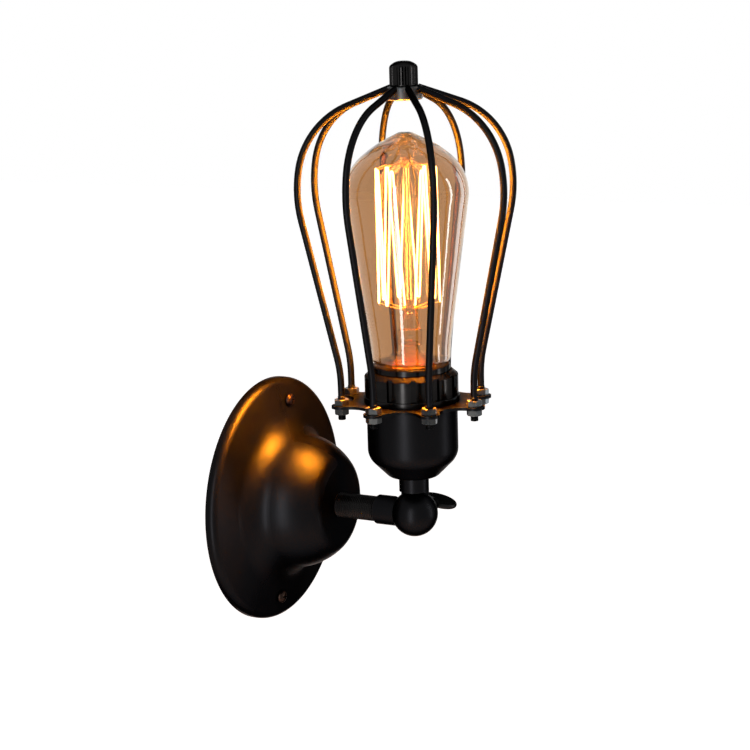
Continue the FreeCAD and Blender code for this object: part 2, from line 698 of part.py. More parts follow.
def half_space(side):
    """Large block on one side of the swivel's joint face; side is 1 for +X and -1 for -X."""
    size = 4 * (BALL_RADIUS + NECK_SHOULDER + SOCKET_LENGTH)
    block = Part.makeBox(size, 2 * size, 2 * size, Vector(0, -size, -size))
    if side < 0:
        block.rotate(Vector(), UP, 180)
    block.translate(Vector(side * FACE_GAP / 2, 0, 0))
    return block


def half_swivel(side, neck_length, bore_radius, bore_length):
    """Half ball on one side of the joint face, with its neck standing up along Z."""
    keep = half_space(side)
    ball = Part.makeSphere(BALL_RADIUS)
    web = Part.makeCylinder(NECK_RADIUS, NECK_SHOULDER + neck_length)
    solid = ball.fuse(web).common(keep)
    neck = Part.makeCylinder(NECK_RADIUS, neck_length, Vector(0, 0, NECK_SHOULDER))
    solid = solid.fuse(neck).removeSplitter()
    chamber = Part.makeCylinder(CHAMBER_RADIUS, CHAMBER_DEPTH, Vector(), ACROSS * side)
    boss = Part.makeCylinder(PIVOT_BOSS_RADIUS, CHAMBER_DEPTH, Vector(), ACROSS * side)
    solid = solid.cut(chamber.cut(boss))
    top = NECK_SHOULDER + neck_length
    solid = solid.cut(Part.makeCylinder(bore_radius, bore_length + OVERCUT, Vector(0, 0, top - bore_length)))
    lead_way = Part.makeCylinder(LEAD_WAY_RADIUS, top, Vector(side * LEAD_WAY_OFFSET, 0, PIVOT_BOSS_RADIUS))
    return solid.cut(lead_way)


def pivot_hole(radius, start, end):
    """Round hole along the swivel's pivot."""
    return Part.makeCylinder(radius, end - start, Vector(start, 0, 0), ACROSS)


def make_knuckle_arm_half():
    solid = half_swivel(-1, SOCKET_LENGTH, ARM_RADIUS + THREAD_GAP, ARM_ENGAGEMENT)
    solid = solid.cut(pivot_hole(KEY_SHANK_RADIUS + THREAD_GAP, -KEY_SHANK_REACH - OVERCUT, OVERCUT))
    solid.rotate(Vector(), ACROSS, -90)
    return on_lamp(solid)


def make_knuckle_head_half():
    bore = HEAD_NECK_LENGTH - NIPPLE_SEAT
    solid = half_swivel(1, HEAD_NECK_LENGTH, NIPPLE_RADIUS + THREAD_GAP, bore)
    solid = solid.cut(pivot_hole(KEY_SHANK_RADIUS + RUN_GAP, -OVERCUT, BALL_RADIUS + OVERCUT))
    flat = Part.makeBox(BALL_RADIUS, 2 * BALL_RADIUS, 2 * BALL_RADIUS,
                        Vector(KEY_SEAT, -BALL_RADIUS, -BALL_RADIUS))
    return on_lamp(solid.cut(flat))


def make_key_washer():
    start = KEY_SEAT + FACE_GAP
    end = start + KEY_WASHER_THICKNESS
    solid = pivot_hole(KEY_WASHER_RADIUS, start, end)
    return on_lamp(solid.cut(pivot_hole(KEY_SHANK_RADIUS + RUN_GAP, start - OVERCUT, end + OVERCUT)))


def make_thumb_key():
    seat = KEY_SEAT + FACE_GAP + KEY_WASHER_THICKNESS
    blade_middle = seat + KEY_STEM_LENGTH + KEY_BLADE_HALF_WIDTH - KEY_STEM_OVERLAP
    shank = pivot_hole(KEY_SHANK_RADIUS, -KEY_SHANK_REACH, seat + OVERCUT)
    stem = Part.makeCone(KEY_STEM_RADIUS + KEY_STEM_FLARE, KEY_STEM_RADIUS, KEY_STEM_LENGTH,
                         Vector(seat, 0, 0), ACROSS)
    half = KEY_BLADE_THICKNESS / 2
    blade = turned([
        (0, -half, 0), (KEY_BLADE_HALF_LENGTH, -half, half * KEY_BLADE_ROUND),
        (KEY_BLADE_HALF_LENGTH, half, half * KEY_BLADE_ROUND), (0, half, 0)])
    squash = FreeCAD.Matrix()
    squash.scale(KEY_BLADE_HALF_WIDTH / KEY_BLADE_HALF_LENGTH, 1, 1)
    blade = blade.transformGeometry(squash)
    blade.translate(Vector(blade_middle, 0, 0))
    solid = shank.fuse([stem, blade]).removeSplitter()
    solid.rotate(Vector(), ACROSS, KEY_BLADE_DROP)
    return on_lamp(solid)


# ---- Cup ----

def make_socket_cup():
    outline = [
        (NIPPLE_RADIUS + THREAD_GAP, CUP_BOTTOM, 0),
        (CUP_CONE_FOOT_RADIUS, CUP_BOTTOM, CUP_FOOT_BEND),
        (CUP_RADIUS, CUP_CONE_TOP, CUP_SIDE_BEND),
        (CUP_RADIUS, CUP_TOP, 0)]
    return on_lamp(turned_sheet(outline, -CUP_WALL))


WASHER_FOOT = CUP_BOTTOM + CUP_WALL
NUT_FOOT = WASHER_FOOT + NIPPLE_WASHER_THICKNESS


def make_head_nipple():
    thread = thread_points(NIPPLE_RADIUS, NIPPLE_THREAD_DEPTH, NIPPLE_FOOT, NIPPLE_TOP, NIPPLE_PITCH)
    solid = turned([(NIPPLE_BORE_RADIUS, NIPPLE_FOOT, 0)] + thread + [(NIPPLE_BORE_RADIUS, NIPPLE_TOP, 0)])
    return on_lamp(solid)


def make_nipple_washer():
    return on_lamp(toothed_washer(NIPPLE_WASHER_RADIUS, NIPPLE_RADIUS + THREAD_GAP,
                                  NIPPLE_WASHER_THICKNESS, WASHER_FOOT))


def make_nipple_nut():
    return on_lamp(hex_nut(NIPPLE_NUT_WIDTH, NIPPLE_NUT_THICKNESS, NIPPLE_RADIUS + THREAD_GAP, NUT_FOOT))


# ---- Lampholder ----

def make_holder_cap():
    floor = HOLDER_CAP_BOTTOM + HOLDER_CAP_FLOOR
    inside = HOLDER_SPIGOT_BORE
    solid = turned([
        (NIPPLE_RADIUS + THREAD_GAP, HOLDER_CAP_BOTTOM, 0),
        (HOLDER_CAP_RADIUS - HOLDER_CAP_HEEL, HOLDER_CAP_BOTTOM, HOLDER_CAP_BEND),
        (HOLDER_CAP_RADIUS, HOLDER_CAP_BOTTOM + HOLDER_CAP_HEEL, HOLDER_CAP_BEND),
        (HOLDER_CAP_RADIUS, HOLDER_CAP_SHOULDER, 0),
        (HOLDER_SPIGOT_RADIUS, HOLDER_CAP_SHOULDER, 0),
        (HOLDER_SPIGOT_RADIUS, HOLDER_SPIGOT_TOP, 0),
        (inside, HOLDER_SPIGOT_TOP, 0),
        (inside, floor + HOLDER_FLOOR_RISE, 0),
        (inside - HOLDER_FLOOR_CORNER, floor, 0),
        (NIPPLE_RADIUS + THREAD_GAP, floor, 0)])
    return on_lamp(solid)


def make_holder_insert():
    bottom = INSERT_BOTTOM
    body = HOLDER_SPIGOT_BORE - THREAD_GAP
    flange = HOLDER_SPIGOT_RADIUS - THREAD_GAP
    solid = turned([
        (0, bottom, 0), (body, bottom, 0), (body, HOLDER_SPIGOT_TOP, 0), (flange, HOLDER_SPIGOT_TOP, 0),
        (flange, INSERT_TOP, 0), (INSERT_RECESS_RADIUS, INSERT_TOP, 0),
        (INSERT_RECESS_RADIUS, RECESS_FLOOR, 0), (0, RECESS_FLOOR, 0)])
    return on_lamp(solid)


def make_holder_clamps():
    pieces = []
    for side in (1, -1):
        low = Vector(side * CLAMP_OFFSET - CLAMP_SIZE / 2, -CLAMP_SIZE / 2, INSERT_BOTTOM - CLAMP_HEIGHT)
        block = Part.makeBox(CLAMP_SIZE, CLAMP_SIZE, CLAMP_HEIGHT, low)
        hole = Part.makeCylinder(CLAMP_HOLE_RADIUS, 2 * CLAMP_SIZE,
                                 Vector(side * CLAMP_OFFSET, -CLAMP_SIZE,
                                        INSERT_BOTTOM - CLAMP_HEIGHT + CLAMP_HOLE_RISE), Vector(0, 1, 0))
        block = block.cut(hole)
        pieces.append(block)
    return on_lamp(Part.makeCompound(pieces))


def make_centre_contact():
    high = INSULATOR_BOTTOM - BULB_CONTACT_THICKNESS - SWEEP_GAP
    start = CONTACT_INSET - INSERT_RECESS_RADIUS
    side = -CONTACT_WIDTH / 2
    leg = Part.makeBox(CONTACT_THICKNESS, CONTACT_WIDTH, high - RECESS_FLOOR,
                       Vector(start, side, RECESS_FLOOR))
    tongue = Part.makeBox(CONTACT_REACH - start, CONTACT_WIDTH, CONTACT_THICKNESS,
                          Vector(start, side, high - CONTACT_THICKNESS))
    foot = Part.makeBox(CONTACT_FOOT, CONTACT_WIDTH, CONTACT_THICKNESS,
                        Vector(start, side, RECESS_FLOOR))
    return on_lamp(leg.fuse([tongue, foot]).removeSplitter())


def cap_thread(shift):
    """Rounded ridges of the bulb's thread, moved outwards by shift, from bottom to top."""
    points = []
    for i in range(CAP_TURNS):
        low = CAP_THREAD_BOTTOM + i * CAP_PITCH
        points.append((CAP_ROOT_RADIUS + shift, low, CAP_PITCH / 5))
        points.append((CAP_THREAD_RADIUS + shift, low + CAP_PITCH / 2, CAP_PITCH / 5))
    return points


CAP_THREAD_TOP = CAP_THREAD_BOTTOM + CAP_TURNS * CAP_PITCH


def make_screw_shell():
    outline = [(CAP_ROOT_RADIUS + CAP_CLEARANCE, INSERT_TOP, 0)]
    outline += cap_thread(CAP_CLEARANCE)
    outline += [(CAP_ROOT_RADIUS + CAP_CLEARANCE, CAP_THREAD_TOP, SHELL_NECK_BEND),
                (CAP_COLLAR_RADIUS + CAP_CLEARANCE, SHELL_TOP, 0)]
    solid = turned_sheet(outline, SHELL_WALL)
    foot = tube(SHELL_FOOT_RADIUS, CAP_ROOT_RADIUS + CAP_CLEARANCE, INSERT_TOP, INSERT_TOP + SHELL_WALL)
    return on_lamp(solid.fuse(foot).removeSplitter())


def make_holder_skirt():
    low = HOLDER_CAP_SHOULDER
    shoulder = INSERT_TOP + FACE_GAP
    solid = turned([
        (HOLDER_SPIGOT_RADIUS + THREAD_GAP, low, 0),
        (SKIRT_RADIUS, low, 0),
        (SKIRT_RADIUS, CUP_TOP - SKIRT_FLANGE, 0),
        (SKIRT_FLANGE_RADIUS, CUP_TOP - SKIRT_FLANGE, 0),
        (SKIRT_FLANGE_RADIUS, CUP_TOP, 0),
        (SKIRT_RADIUS, CUP_TOP, 0),
        (SKIRT_RADIUS, SKIRT_TOP, SKIRT_EDGE_BEND),
        (SKIRT_MOUTH_RADIUS, SKIRT_TOP, SKIRT_MOUTH_BEND),
        (SKIRT_MOUTH_RADIUS, SKIRT_TOP - SKIRT_LIP, 0),
        (SKIRT_BORE, SKIRT_TOP - SKIRT_LIP, 0),
        (SKIRT_BORE, shoulder, 0),
        (HOLDER_SPIGOT_RADIUS + THREAD_GAP, shoulder, 0)])
    return on_lamp(solid)


def make_shade_ring():
    bore = SKIRT_RADIUS + RUN_GAP
    low = CAGE_PLATE_TOP + FACE_GAP
    solid = turned([
        (bore, low, 0),
        (RING_FLANGE_RADIUS, low, 0),
        (RING_FLANGE_RADIUS, CAGE_PLATE_TOP + RING_FLANGE, RING_EDGE_BEND),
        (RING_RADIUS, CAGE_PLATE_TOP + RING_FLANGE, 0),
        (RING_RADIUS, RING_RIB_TOP, RING_EDGE_BEND),
        (RING_TOP_RADIUS, RING_TOP, RING_TOP_BEND),
        (bore, RING_TOP, 0)])
    groove = Part.makeBox(2 * RING_GROOVE_DEPTH, RING_GROOVE_WIDTH, RING_TOP - CAGE_PLATE_TOP,
                          Vector(RING_RADIUS - RING_GROOVE_DEPTH, -RING_GROOVE_WIDTH / 2,
                                 CAGE_PLATE_TOP + RING_FLANGE))
    for i in range(RING_RIBS):
        cut = groove.copy()
        cut.rotate(Vector(), UP, 360.0 * i / RING_RIBS)
        solid = solid.cut(cut)
    return on_lamp(solid)


# ---- Cage ----

def make_cage_plate():
    half = math.radians(CAGE_STEP / 2)
    circle = CAGE_CIRCLE
    reach = (SCALLOP_RADIUS ** 2 + circle ** 2 - LOBE_RADIUS ** 2
             - 2 * circle * SCALLOP_RADIUS * math.cos(half))
    scallop = reach / (2 * (LOBE_RADIUS + circle * math.cos(half) - SCALLOP_RADIUS))
    scallop_centre = SCALLOP_RADIUS + scallop
    edges = []
    for i in range(CAGE_WIRES):
        angle = CAGE_TURN + i * CAGE_STEP
        lobe = at_angle(circle, angle, 0)
        before = at_angle(scallop_centre, angle - CAGE_STEP / 2, 0)
        after = at_angle(scallop_centre, angle + CAGE_STEP / 2, 0)
        following = at_angle(circle, angle + CAGE_STEP, 0)
        start = lobe + before.sub(lobe).normalize() * LOBE_RADIUS
        end = lobe + after.sub(lobe).normalize() * LOBE_RADIUS
        edges.append(Part.Arc(start, at_angle(circle + LOBE_RADIUS, angle, 0), end).toShape())
        onward = following + after.sub(following).normalize() * LOBE_RADIUS
        edges.append(Part.Arc(end, at_angle(SCALLOP_RADIUS, angle + CAGE_STEP / 2, 0), onward).toShape())
    solid = Part.Face(Part.Wire(edges)).extrude(Vector(0, 0, CAGE_PLATE_THICKNESS))
    solid = solid.cut(Part.makeCylinder(SKIRT_RADIUS + THREAD_GAP, 4 * CAGE_PLATE_THICKNESS,
                                        Vector(0, 0, -CAGE_PLATE_THICKNESS)))
    for i in range(CAGE_WIRES):
        spot = at_angle(circle, CAGE_TURN + i * CAGE_STEP, -CAGE_PLATE_THICKNESS)
        solid = solid.cut(Part.makeCylinder(WIRE_THREAD_RADIUS + THREAD_GAP, 4 * CAGE_PLATE_THICKNESS, spot))
    solid.translate(Vector(0, 0, CUP_TOP))
    return on_lamp(solid)


WIRE_FOOT = CUP_TOP - CAGE_NUT_THICKNESS - WIRE_TAIL
WIRE_THREAD_TOP = CAGE_PLATE_TOP + CAGE_NUT_THICKNESS + WIRE_THREAD_ABOVE


def wire_places(start_height):
    """Places that one cage wire runs through, in the XZ plane."""
    return [
        Vector(CAGE_CIRCLE, 0, start_height),
        Vector(CAGE_CIRCLE, 0, WIRE_BEND_HEIGHT),
        Vector(WIRE_BELLY_RADIUS, 0, WIRE_BELLY_HEIGHT),
        Vector(WIRE_SHOULDER_RADIUS, 0, WIRE_SHOULDER_HEIGHT),
        Vector(WIRE_END_RADIUS, 0, WIRE_END_HEIGHT)]


def make_cage_wire(index):
    bends = [0, WIRE_WAIST_BEND, WIRE_BELLY_BEND, WIRE_SHOULDER_BEND, 0]
    ring = Part.Wire(Part.makeCircle(WIRE_RADIUS, Vector(CAGE_CIRCLE, 0, WIRE_THREAD_TOP), UP))
    body = bent_path(wire_places(WIRE_THREAD_TOP), bends).makePipeShell([ring], True, False)
    depth = WIRE_THREAD_RADIUS - WIRE_RADIUS
    outline = thread_points(WIRE_THREAD_RADIUS, depth, WIRE_FOOT, WIRE_THREAD_TOP, WIRE_THREAD_PITCH)
    thread = turned([(0, WIRE_FOOT, 0)] + outline + [(0, WIRE_THREAD_TOP, 0)])
    thread.translate(Vector(CAGE_CIRCLE, 0, 0))
    solid = body.fuse(thread)
    solid.rotate(Vector(), UP, CAGE_TURN + index * CAGE_STEP)
    return on_lamp(solid)


def make_nuts(low):
    nuts = []
    for i in range(CAGE_WIRES):
        nut = hex_nut(CAGE_NUT_WIDTH, CAGE_NUT_THICKNESS, WIRE_THREAD_RADIUS + THREAD_GAP, low)
        nut.rotate(Vector(), UP, CAGE_NUT_TURN + CAGE_NUT_TURN_STEP * i)
        nut.translate(Vector(CAGE_CIRCLE, 0, 0))
        nut.rotate(Vector(), UP, CAGE_TURN + i * CAGE_STEP)
        nuts.append(on_lamp(nut))
    return Part.makeCompound(nuts)


def make_upper_nuts():
    return make_nuts(CAGE_PLATE_TOP)


def make_lower_nuts():
    return make_nuts(CUP_TOP - CAGE_NUT_THICKNESS)


def make_cage_hub():
    solid = turned([
        (STUD_RADIUS + RUN_GAP, HUB_BOTTOM, 0), (HUB_RADIUS - HUB_EDGE, HUB_BOTTOM, 0),
        (HUB_RADIUS, HUB_BOTTOM + HUB_EDGE, 0), (HUB_RADIUS, HUB_TOP - HUB_EDGE, 0),
        (HUB_RADIUS - HUB_EDGE, HUB_TOP, 0), (STUD_RADIUS + RUN_GAP, HUB_TOP, 0)])
    slope = (WIRE_END_HEIGHT - WIRE_SHOULDER_HEIGHT) / (WIRE_SHOULDER_RADIUS - WIRE_END_RADIUS)
    for i in range(CAGE_WIRES):
        angle = CAGE_TURN + i * CAGE_STEP
        inner = at_angle(WIRE_END_RADIUS, angle, WIRE_END_HEIGHT)
        outer = at_angle(2 * HUB_RADIUS, angle, WIRE_END_HEIGHT - slope * (2 * HUB_RADIUS - WIRE_END_RADIUS))
        solid = solid.cut(rod(inner, outer, WIRE_RADIUS + THREAD_GAP))
    return on_lamp(solid)


def make_cage_knob():
    low = HUB_TOP + FACE_GAP
    high = low + KNOB_HEIGHT
    solid = turned([
        (0, HUB_TOP - STUD_LENGTH, 0), (STUD_RADIUS, HUB_TOP - STUD_LENGTH, 0), (STUD_RADIUS, low, 0),
        (KNOB_RADIUS, low, KNOB_FOOT_BEND), (KNOB_RADIUS, high - KNOB_DOME, KNOB_DOME),
        (KNOB_FLAT * KNOB_RADIUS, high, KNOB_RADIUS), (0, high, 0)])
    flute = Part.makeBox(2 * KNOB_FLUTE_DEPTH, 2 * KNOB_FLUTE_DEPTH, KNOB_HEIGHT,
                         Vector(-KNOB_FLUTE_DEPTH, -KNOB_FLUTE_DEPTH, low + KNOB_FLUTE_FOOT))
    flute.rotate(Vector(), UP, 45)
    flute.translate(Vector(KNOB_RADIUS + KNOB_FLUTE_OFFSET, 0, 0))
    for i in range(KNOB_FLUTES):
        cut = flute.copy()
        cut.rotate(Vector(), UP, 360.0 * i / KNOB_FLUTES)
        solid = solid.cut(cut)
    return on_lamp(solid)


# ---- Bulb ----

def make_bulb_glass():
    outline = [
        (0, BULB_TIP, 0),
        (BULB_TIP_RADIUS, BULB_TIP, BULB_TIP_BEND),
        (BULB_SHOULDER_RADIUS, BULB_SHOULDER_HEIGHT, BULB_SHOULDER_BEND),
        (BULB_BELLY_RADIUS, BULB_BELLY_HEIGHT, BULB_BELLY_BEND),
        (BULB_NECK_RADIUS, BULB_NECK_HEIGHT, BULB_NECK_BEND),
        (BULB_NECK_RADIUS, BULB_HEEL_HEIGHT, BULB_HEEL_BEND),
        (BULB_THROAT_RADIUS, BULB_HEEL_HEIGHT, BULB_THROAT_BEND),
        (BULB_THROAT_RADIUS, BULB_GLASS_BOTTOM, 0)]
    inner = offset_points(outline, BULB_GLASS_WALL)
    tip = (0, BULB_TIP - BULB_GLASS_WALL, 0)
    return on_lamp(turned(outline + inner[:0:-1] + [tip]))


def make_bulb_cap():
    collar = CAP_THREAD_TOP + CAP_NECK
    outline = [(CAP_ROOT_RADIUS, CAP_THREAD_BOTTOM - CAP_FOOT, 0)]
    outline += cap_thread(0)
    outline += [(CAP_ROOT_RADIUS, CAP_THREAD_TOP, CAP_NECK_BEND),
                (CAP_ROOT_RADIUS, collar, CAP_NECK_BEND),
                (CAP_COLLAR_RADIUS, collar + CAP_COLLAR_RISE, CAP_COLLAR_BEND),
                (CAP_COLLAR_RADIUS, CAP_TOP, 0)]
    return on_lamp(turned_sheet(outline, -CAP_WALL))


def make_basing_cement():
    return on_lamp(tube(CEMENT_RADIUS, CEMENT_HOLE_RADIUS, CEMENT_BOTTOM, BULB_GLASS_BOTTOM - FACE_GAP))


def make_bulb_insulator():
    plug = CAP_ROOT_RADIUS - CAP_WALL - THREAD_GAP
    edge = CAP_THREAD_BOTTOM - INSULATOR_GAP
    top = CAP_THREAD_BOTTOM + INSULATOR_PLUG
    solid = turned([
        (0, INSULATOR_BOTTOM, 0),
        (BULB_CONTACT_RADIUS + INSULATOR_MARGIN, INSULATOR_BOTTOM, INSULATOR_BEND),
        (plug, edge, INSULATOR_BEND),
        (plug, top, 0),
        (0, top, 0)])
    return on_lamp(solid)


def make_bulb_contact():
    low = INSULATOR_BOTTOM - BULB_CONTACT_THICKNESS
    solid = turned([
        (0, low, 0),
        (BULB_CONTACT_RADIUS * BULB_CONTACT_FLAT, low, BULB_CONTACT_RADIUS),
        (BULB_CONTACT_RADIUS, INSULATOR_BOTTOM - BULB_CONTACT_EDGE, BULB_CONTACT_BEND),
        (BULB_CONTACT_RADIUS, INSULATOR_BOTTOM, 0),
        (0, INSULATOR_BOTTOM, 0)])
    return on_lamp(solid)


def make_bulb_stem():
    outline = [
        (STEM_FLARE_RADIUS, BULB_GLASS_BOTTOM, 0),
        (STEM_FLARE_RADIUS, BULB_GLASS_BOTTOM + STEM_FOOT, STEM_FOOT_BEND),
        (STEM_TUBE_RADIUS, STEM_WAIST_HEIGHT, STEM_WAIST_BEND),
        (STEM_TUBE_RADIUS, PINCH_BOTTOM + STEM_OVERLAP, 0)]
    flare = turned_sheet(outline, -STEM_WALL)
    pinch = Part.makeBox(PINCH_THICKNESS, PINCH_WIDTH, PINCH_TOP - PINCH_BOTTOM,
                         Vector(-PINCH_THICKNESS / 2, -PINCH_WIDTH / 2, PINCH_BOTTOM))
    pinch = pinch.makeFillet(PINCH_BEND, pinch.Edges)
    pinch = pinch.cut(Part.makeCylinder(EXHAUST_RADIUS, 2 * PINCH_WIDTH,
                                        Vector(-PINCH_WIDTH, 0, EXHAUST_HEIGHT), ACROSS))
    rod_foot = PINCH_TOP - STEM_OVERLAP
    centre_rod = Part.makeCylinder(ROD_RADIUS, ROD_TOP - rod_foot, Vector(0, 0, rod_foot))
    pieces = [pinch, centre_rod]
    for height in (LOWER_BUTTON, ROD_TOP):
        pieces.append(Part.makeSphere(ROD_BUTTON_RADIUS, Vector(0, 0, height)))
    return in_bulb(flare.fuse(pieces).removeSplitter())


def filament_angle(index):
    """Direction of one end of the filament's strands, in degrees from the side of the leads."""
    return (index + 0.5) * 360.0 / (FILAMENT_STRANDS + 1)


def filament_places():
    """Places that the filament runs through: up and down in turn, with a narrow loop at each end."""
    places = []
    for i in range(FILAMENT_STRANDS + 1):
        angle = filament_angle(i)
        spot = at_angle(FILAMENT_CIRCLE, angle, FILAMENT_TOP if i % 2 else FILAMENT_BOTTOM)
        sideways = at_angle(FILAMENT_LOOP / 2, angle + 90, 0)
        if i in (0, FILAMENT_STRANDS):
            places.append(spot)
        else:
            places += [spot - sideways, spot + sideways]
    return places


def make_filament():
    return in_bulb(bent_rod(filament_places(), FILAMENT_BEND, FILAMENT_RADIUS))


def support_hook(button_height, end_height, rise):
    """Thin bent wire from a glass button out to one loop of the filament, towards +X."""
    centre = Vector(0, 0, button_height)
    knee = Vector(FILAMENT_CIRCLE * HOOK_KNEE, 0, end_height + rise)
    start = centre + knee.sub(centre).normalize() * (ROD_BUTTON_RADIUS + HOOK_FREE)
    return bent_rod([start, knee, Vector(FILAMENT_CIRCLE, 0, end_height)], HOOK_BEND, HOOK_RADIUS)


def make_filament_supports():
    gap = WIRE_CLEAR * (FILAMENT_RADIUS + HOOK_RADIUS)
    hooks = []
    for i in range(1, FILAMENT_STRANDS):
        if i % 2:
            hook = support_hook(ROD_TOP, FILAMENT_TOP + gap, HOOK_RISE)
        else:
            hook = support_hook(LOWER_BUTTON, FILAMENT_BOTTOM - gap, -HOOK_RISE)
        hook.rotate(Vector(), UP, filament_angle(i))
        hooks.append(hook)
    return in_bulb(Part.makeCompound(hooks))


def make_lead_wires():
    ends = (filament_places()[0], filament_places()[-1])
    leads = []
    for side, end in zip((1, -1), ends):
        start = Vector(0, side * LEAD_SPREAD, PINCH_TOP)
        above = start + UP * LEAD_RISE
        below = end - UP * WIRE_CLEAR * (FILAMENT_RADIUS + LEAD_RADIUS)
        knee = above * (1 - LEAD_KNEE) + below * LEAD_KNEE - UP * LEAD_SAG
        leads.append(bent_rod([start, above, knee, below], LEAD_BEND, LEAD_RADIUS))
    return in_bulb(Part.makeCompound(leads))


# ---- Everything, by name ----

def all_nodes():
    nodes = {
        "wall_strap": make_wall_strap(),
        "canopy": make_canopy(),
        "canopy_screws": make_canopy_screws(),
        "earth_screw": make_earth_screw(),
        "terminal_block": make_terminal_block(),
        "terminal_sleeves": make_terminal_sleeves(),
        "arm_tube": make_arm_tube(),
        "arm_weld_nut": make_arm_weld_nut(),
        "arm_washer": make_arm_washer(),
        "arm_lock_nut": make_arm_lock_nut(),
        "knuckle_arm_half": make_knuckle_arm_half(),
        "knuckle_head_half": make_knuckle_head_half(),
        "key_washer": make_key_washer(),
        "thumb_key": make_thumb_key(),
        "head_nipple": make_head_nipple(),
        "nipple_washer": make_nipple_washer(),
        "nipple_nut": make_nipple_nut(),
        "socket_cup": make_socket_cup(),
        "holder_cap": make_holder_cap(),
        "holder_insert": make_holder_insert(),
        "holder_clamps": make_holder_clamps(),
        "holder_skirt": make_holder_skirt(),
        "screw_shell": make_screw_shell(),
        "centre_contact": make_centre_contact(),
        "shade_ring": make_shade_ring(),
        "cage_plate": make_cage_plate(),
        "upper_nuts": make_upper_nuts(),
        "lower_nuts": make_lower_nuts(),
        "cage_hub": make_cage_hub(),
        "cage_knob": make_cage_knob(),
        "bulb_glass": make_bulb_glass(),
        "bulb_cap": make_bulb_cap(),
        "basing_cement": make_basing_cement(),
        "bulb_insulator": make_bulb_insulator(),
        "bulb_contact": make_bulb_contact(),
        "bulb_stem": make_bulb_stem(),
        "filament": make_filament(),
        "filament_supports": make_filament_supports(),
        "lead_wires": make_lead_wires()}
    for index in range(CAGE_WIRES):
        nodes["cage_wire_%d" % (index + 1)] = make_cage_wire(index)
    return nodes


def write_nodes(nodes):
    os.makedirs("parts", exist_ok=True)
    for name, shape in nodes.items():
        shape.exportStep("parts/%s.step" % name)
        box = shape.optimalBoundingBox(False)
        print("%-20s solids %2d  valid %s  volume %9.1f  x %.1f..%.1f  y %.1f..%.1f  z %.1f..%.1f" % (
            name, len(shape.Solids), shape.isValid(), shape.Volume,
            box.XMin, box.XMax, box.YMin, box.YMax, box.ZMin, box.ZMax))


write_nodes(all_nodes())
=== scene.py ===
# %% [markdown]
# # A caged wall light
# This lesson dresses a finished construction model of a wall light. The model already has every
# solid at its true size: a round wall plate, a threaded arm, a swivel, a cup, a lampholder, a
# cage of eight wires and a lamp with a long squirrel-cage filament. The lesson gives each of
# them a finish, lights the lamp, and sets up a plain studio around it. One could model it all
# again here, but the sizes are right as they are, so only what the solids can't show is new.

import json
import math

import bpy
from mathutils import Matrix, Vector


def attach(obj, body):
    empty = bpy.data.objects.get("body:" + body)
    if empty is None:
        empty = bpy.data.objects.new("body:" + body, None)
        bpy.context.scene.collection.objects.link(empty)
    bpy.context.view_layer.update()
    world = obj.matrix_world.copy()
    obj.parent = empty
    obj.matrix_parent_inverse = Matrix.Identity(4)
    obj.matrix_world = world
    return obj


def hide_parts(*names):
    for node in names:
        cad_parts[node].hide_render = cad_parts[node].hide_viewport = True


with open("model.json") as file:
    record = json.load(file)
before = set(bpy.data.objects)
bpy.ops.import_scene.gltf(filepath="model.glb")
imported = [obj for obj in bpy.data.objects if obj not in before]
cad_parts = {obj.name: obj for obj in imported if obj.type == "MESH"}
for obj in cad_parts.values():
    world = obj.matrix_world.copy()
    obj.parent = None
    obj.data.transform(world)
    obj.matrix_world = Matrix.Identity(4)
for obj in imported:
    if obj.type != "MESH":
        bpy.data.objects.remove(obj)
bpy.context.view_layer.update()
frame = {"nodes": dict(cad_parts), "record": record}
record = frame["record"]
nodes = frame["nodes"]

# %% [markdown]
# ## The camera
# The picture was taken from the left of the light and a little above it. A camera can be turned
# by hand until the picture looks right, but it is easier to keep right when it is worked out
# from an azimuth, an elevation and a roll round a point to aim at. The light hangs a degree or
# two out of true in the picture, and the roll takes that up.

# %% Camera
CAMERA_AZIMUTH = math.radians(-61.03)
CAMERA_ELEVATION = math.radians(11.42)
CAMERA_ROLL = math.radians(-1.67)
CAMERA_AIM = Vector((0.01002, -0.0600, 0.06908))
CAMERA_DISTANCE = 1.1
CAMERA_LENS = 101.35
SENSOR = 36.0


def direction(azimuth, elevation):
    """Unit vector from the light out to an azimuth and an elevation, both in radians."""
    flat = math.cos(elevation)
    return Vector((math.sin(azimuth) * flat, -math.cos(azimuth) * flat, math.sin(elevation)))


def aimed(back, roll=0.0):
    """Turn that looks along -back, with the picture's top upwards, then rolled."""
    right = Vector((0, 0, 1)).cross(back).normalized()
    up = back.cross(right)
    rolled_right = right * math.cos(roll) + up * math.sin(roll)
    rolled_up = up * math.cos(roll) - right * math.sin(roll)
    return Matrix((rolled_right, rolled_up, back)).transposed()


towards_camera = direction(CAMERA_AZIMUTH, CAMERA_ELEVATION)
place = CAMERA_AIM + towards_camera * CAMERA_DISTANCE
bpy.ops.object.camera_add(location=place, rotation=aimed(towards_camera, CAMERA_ROLL).to_euler())
camera = bpy.context.object
camera.name = "picture_camera"
camera.data.sensor_width = SENSOR
camera.data.lens = CAMERA_LENS
bpy.context.scene.camera = camera
print("camera at", [round(v, 3) for v in camera.location])

# %% [markdown]
# ## The studio
# The picture has a pure white background and black metal with a few soft upright highlights, so
# the real studio had tall narrow soft boxes. Here the world is white where the camera, a mirror
# or a glass looks at it, and a calmer grey where it lights matt surfaces. That is done with the
# Light Path node, and keeps the paint from going grey. The floor lies far below, because this
# light hangs on a wall.

# %% World
BACKGROUND_WHITE = 1.0
WORLD_LIGHT = 0.32


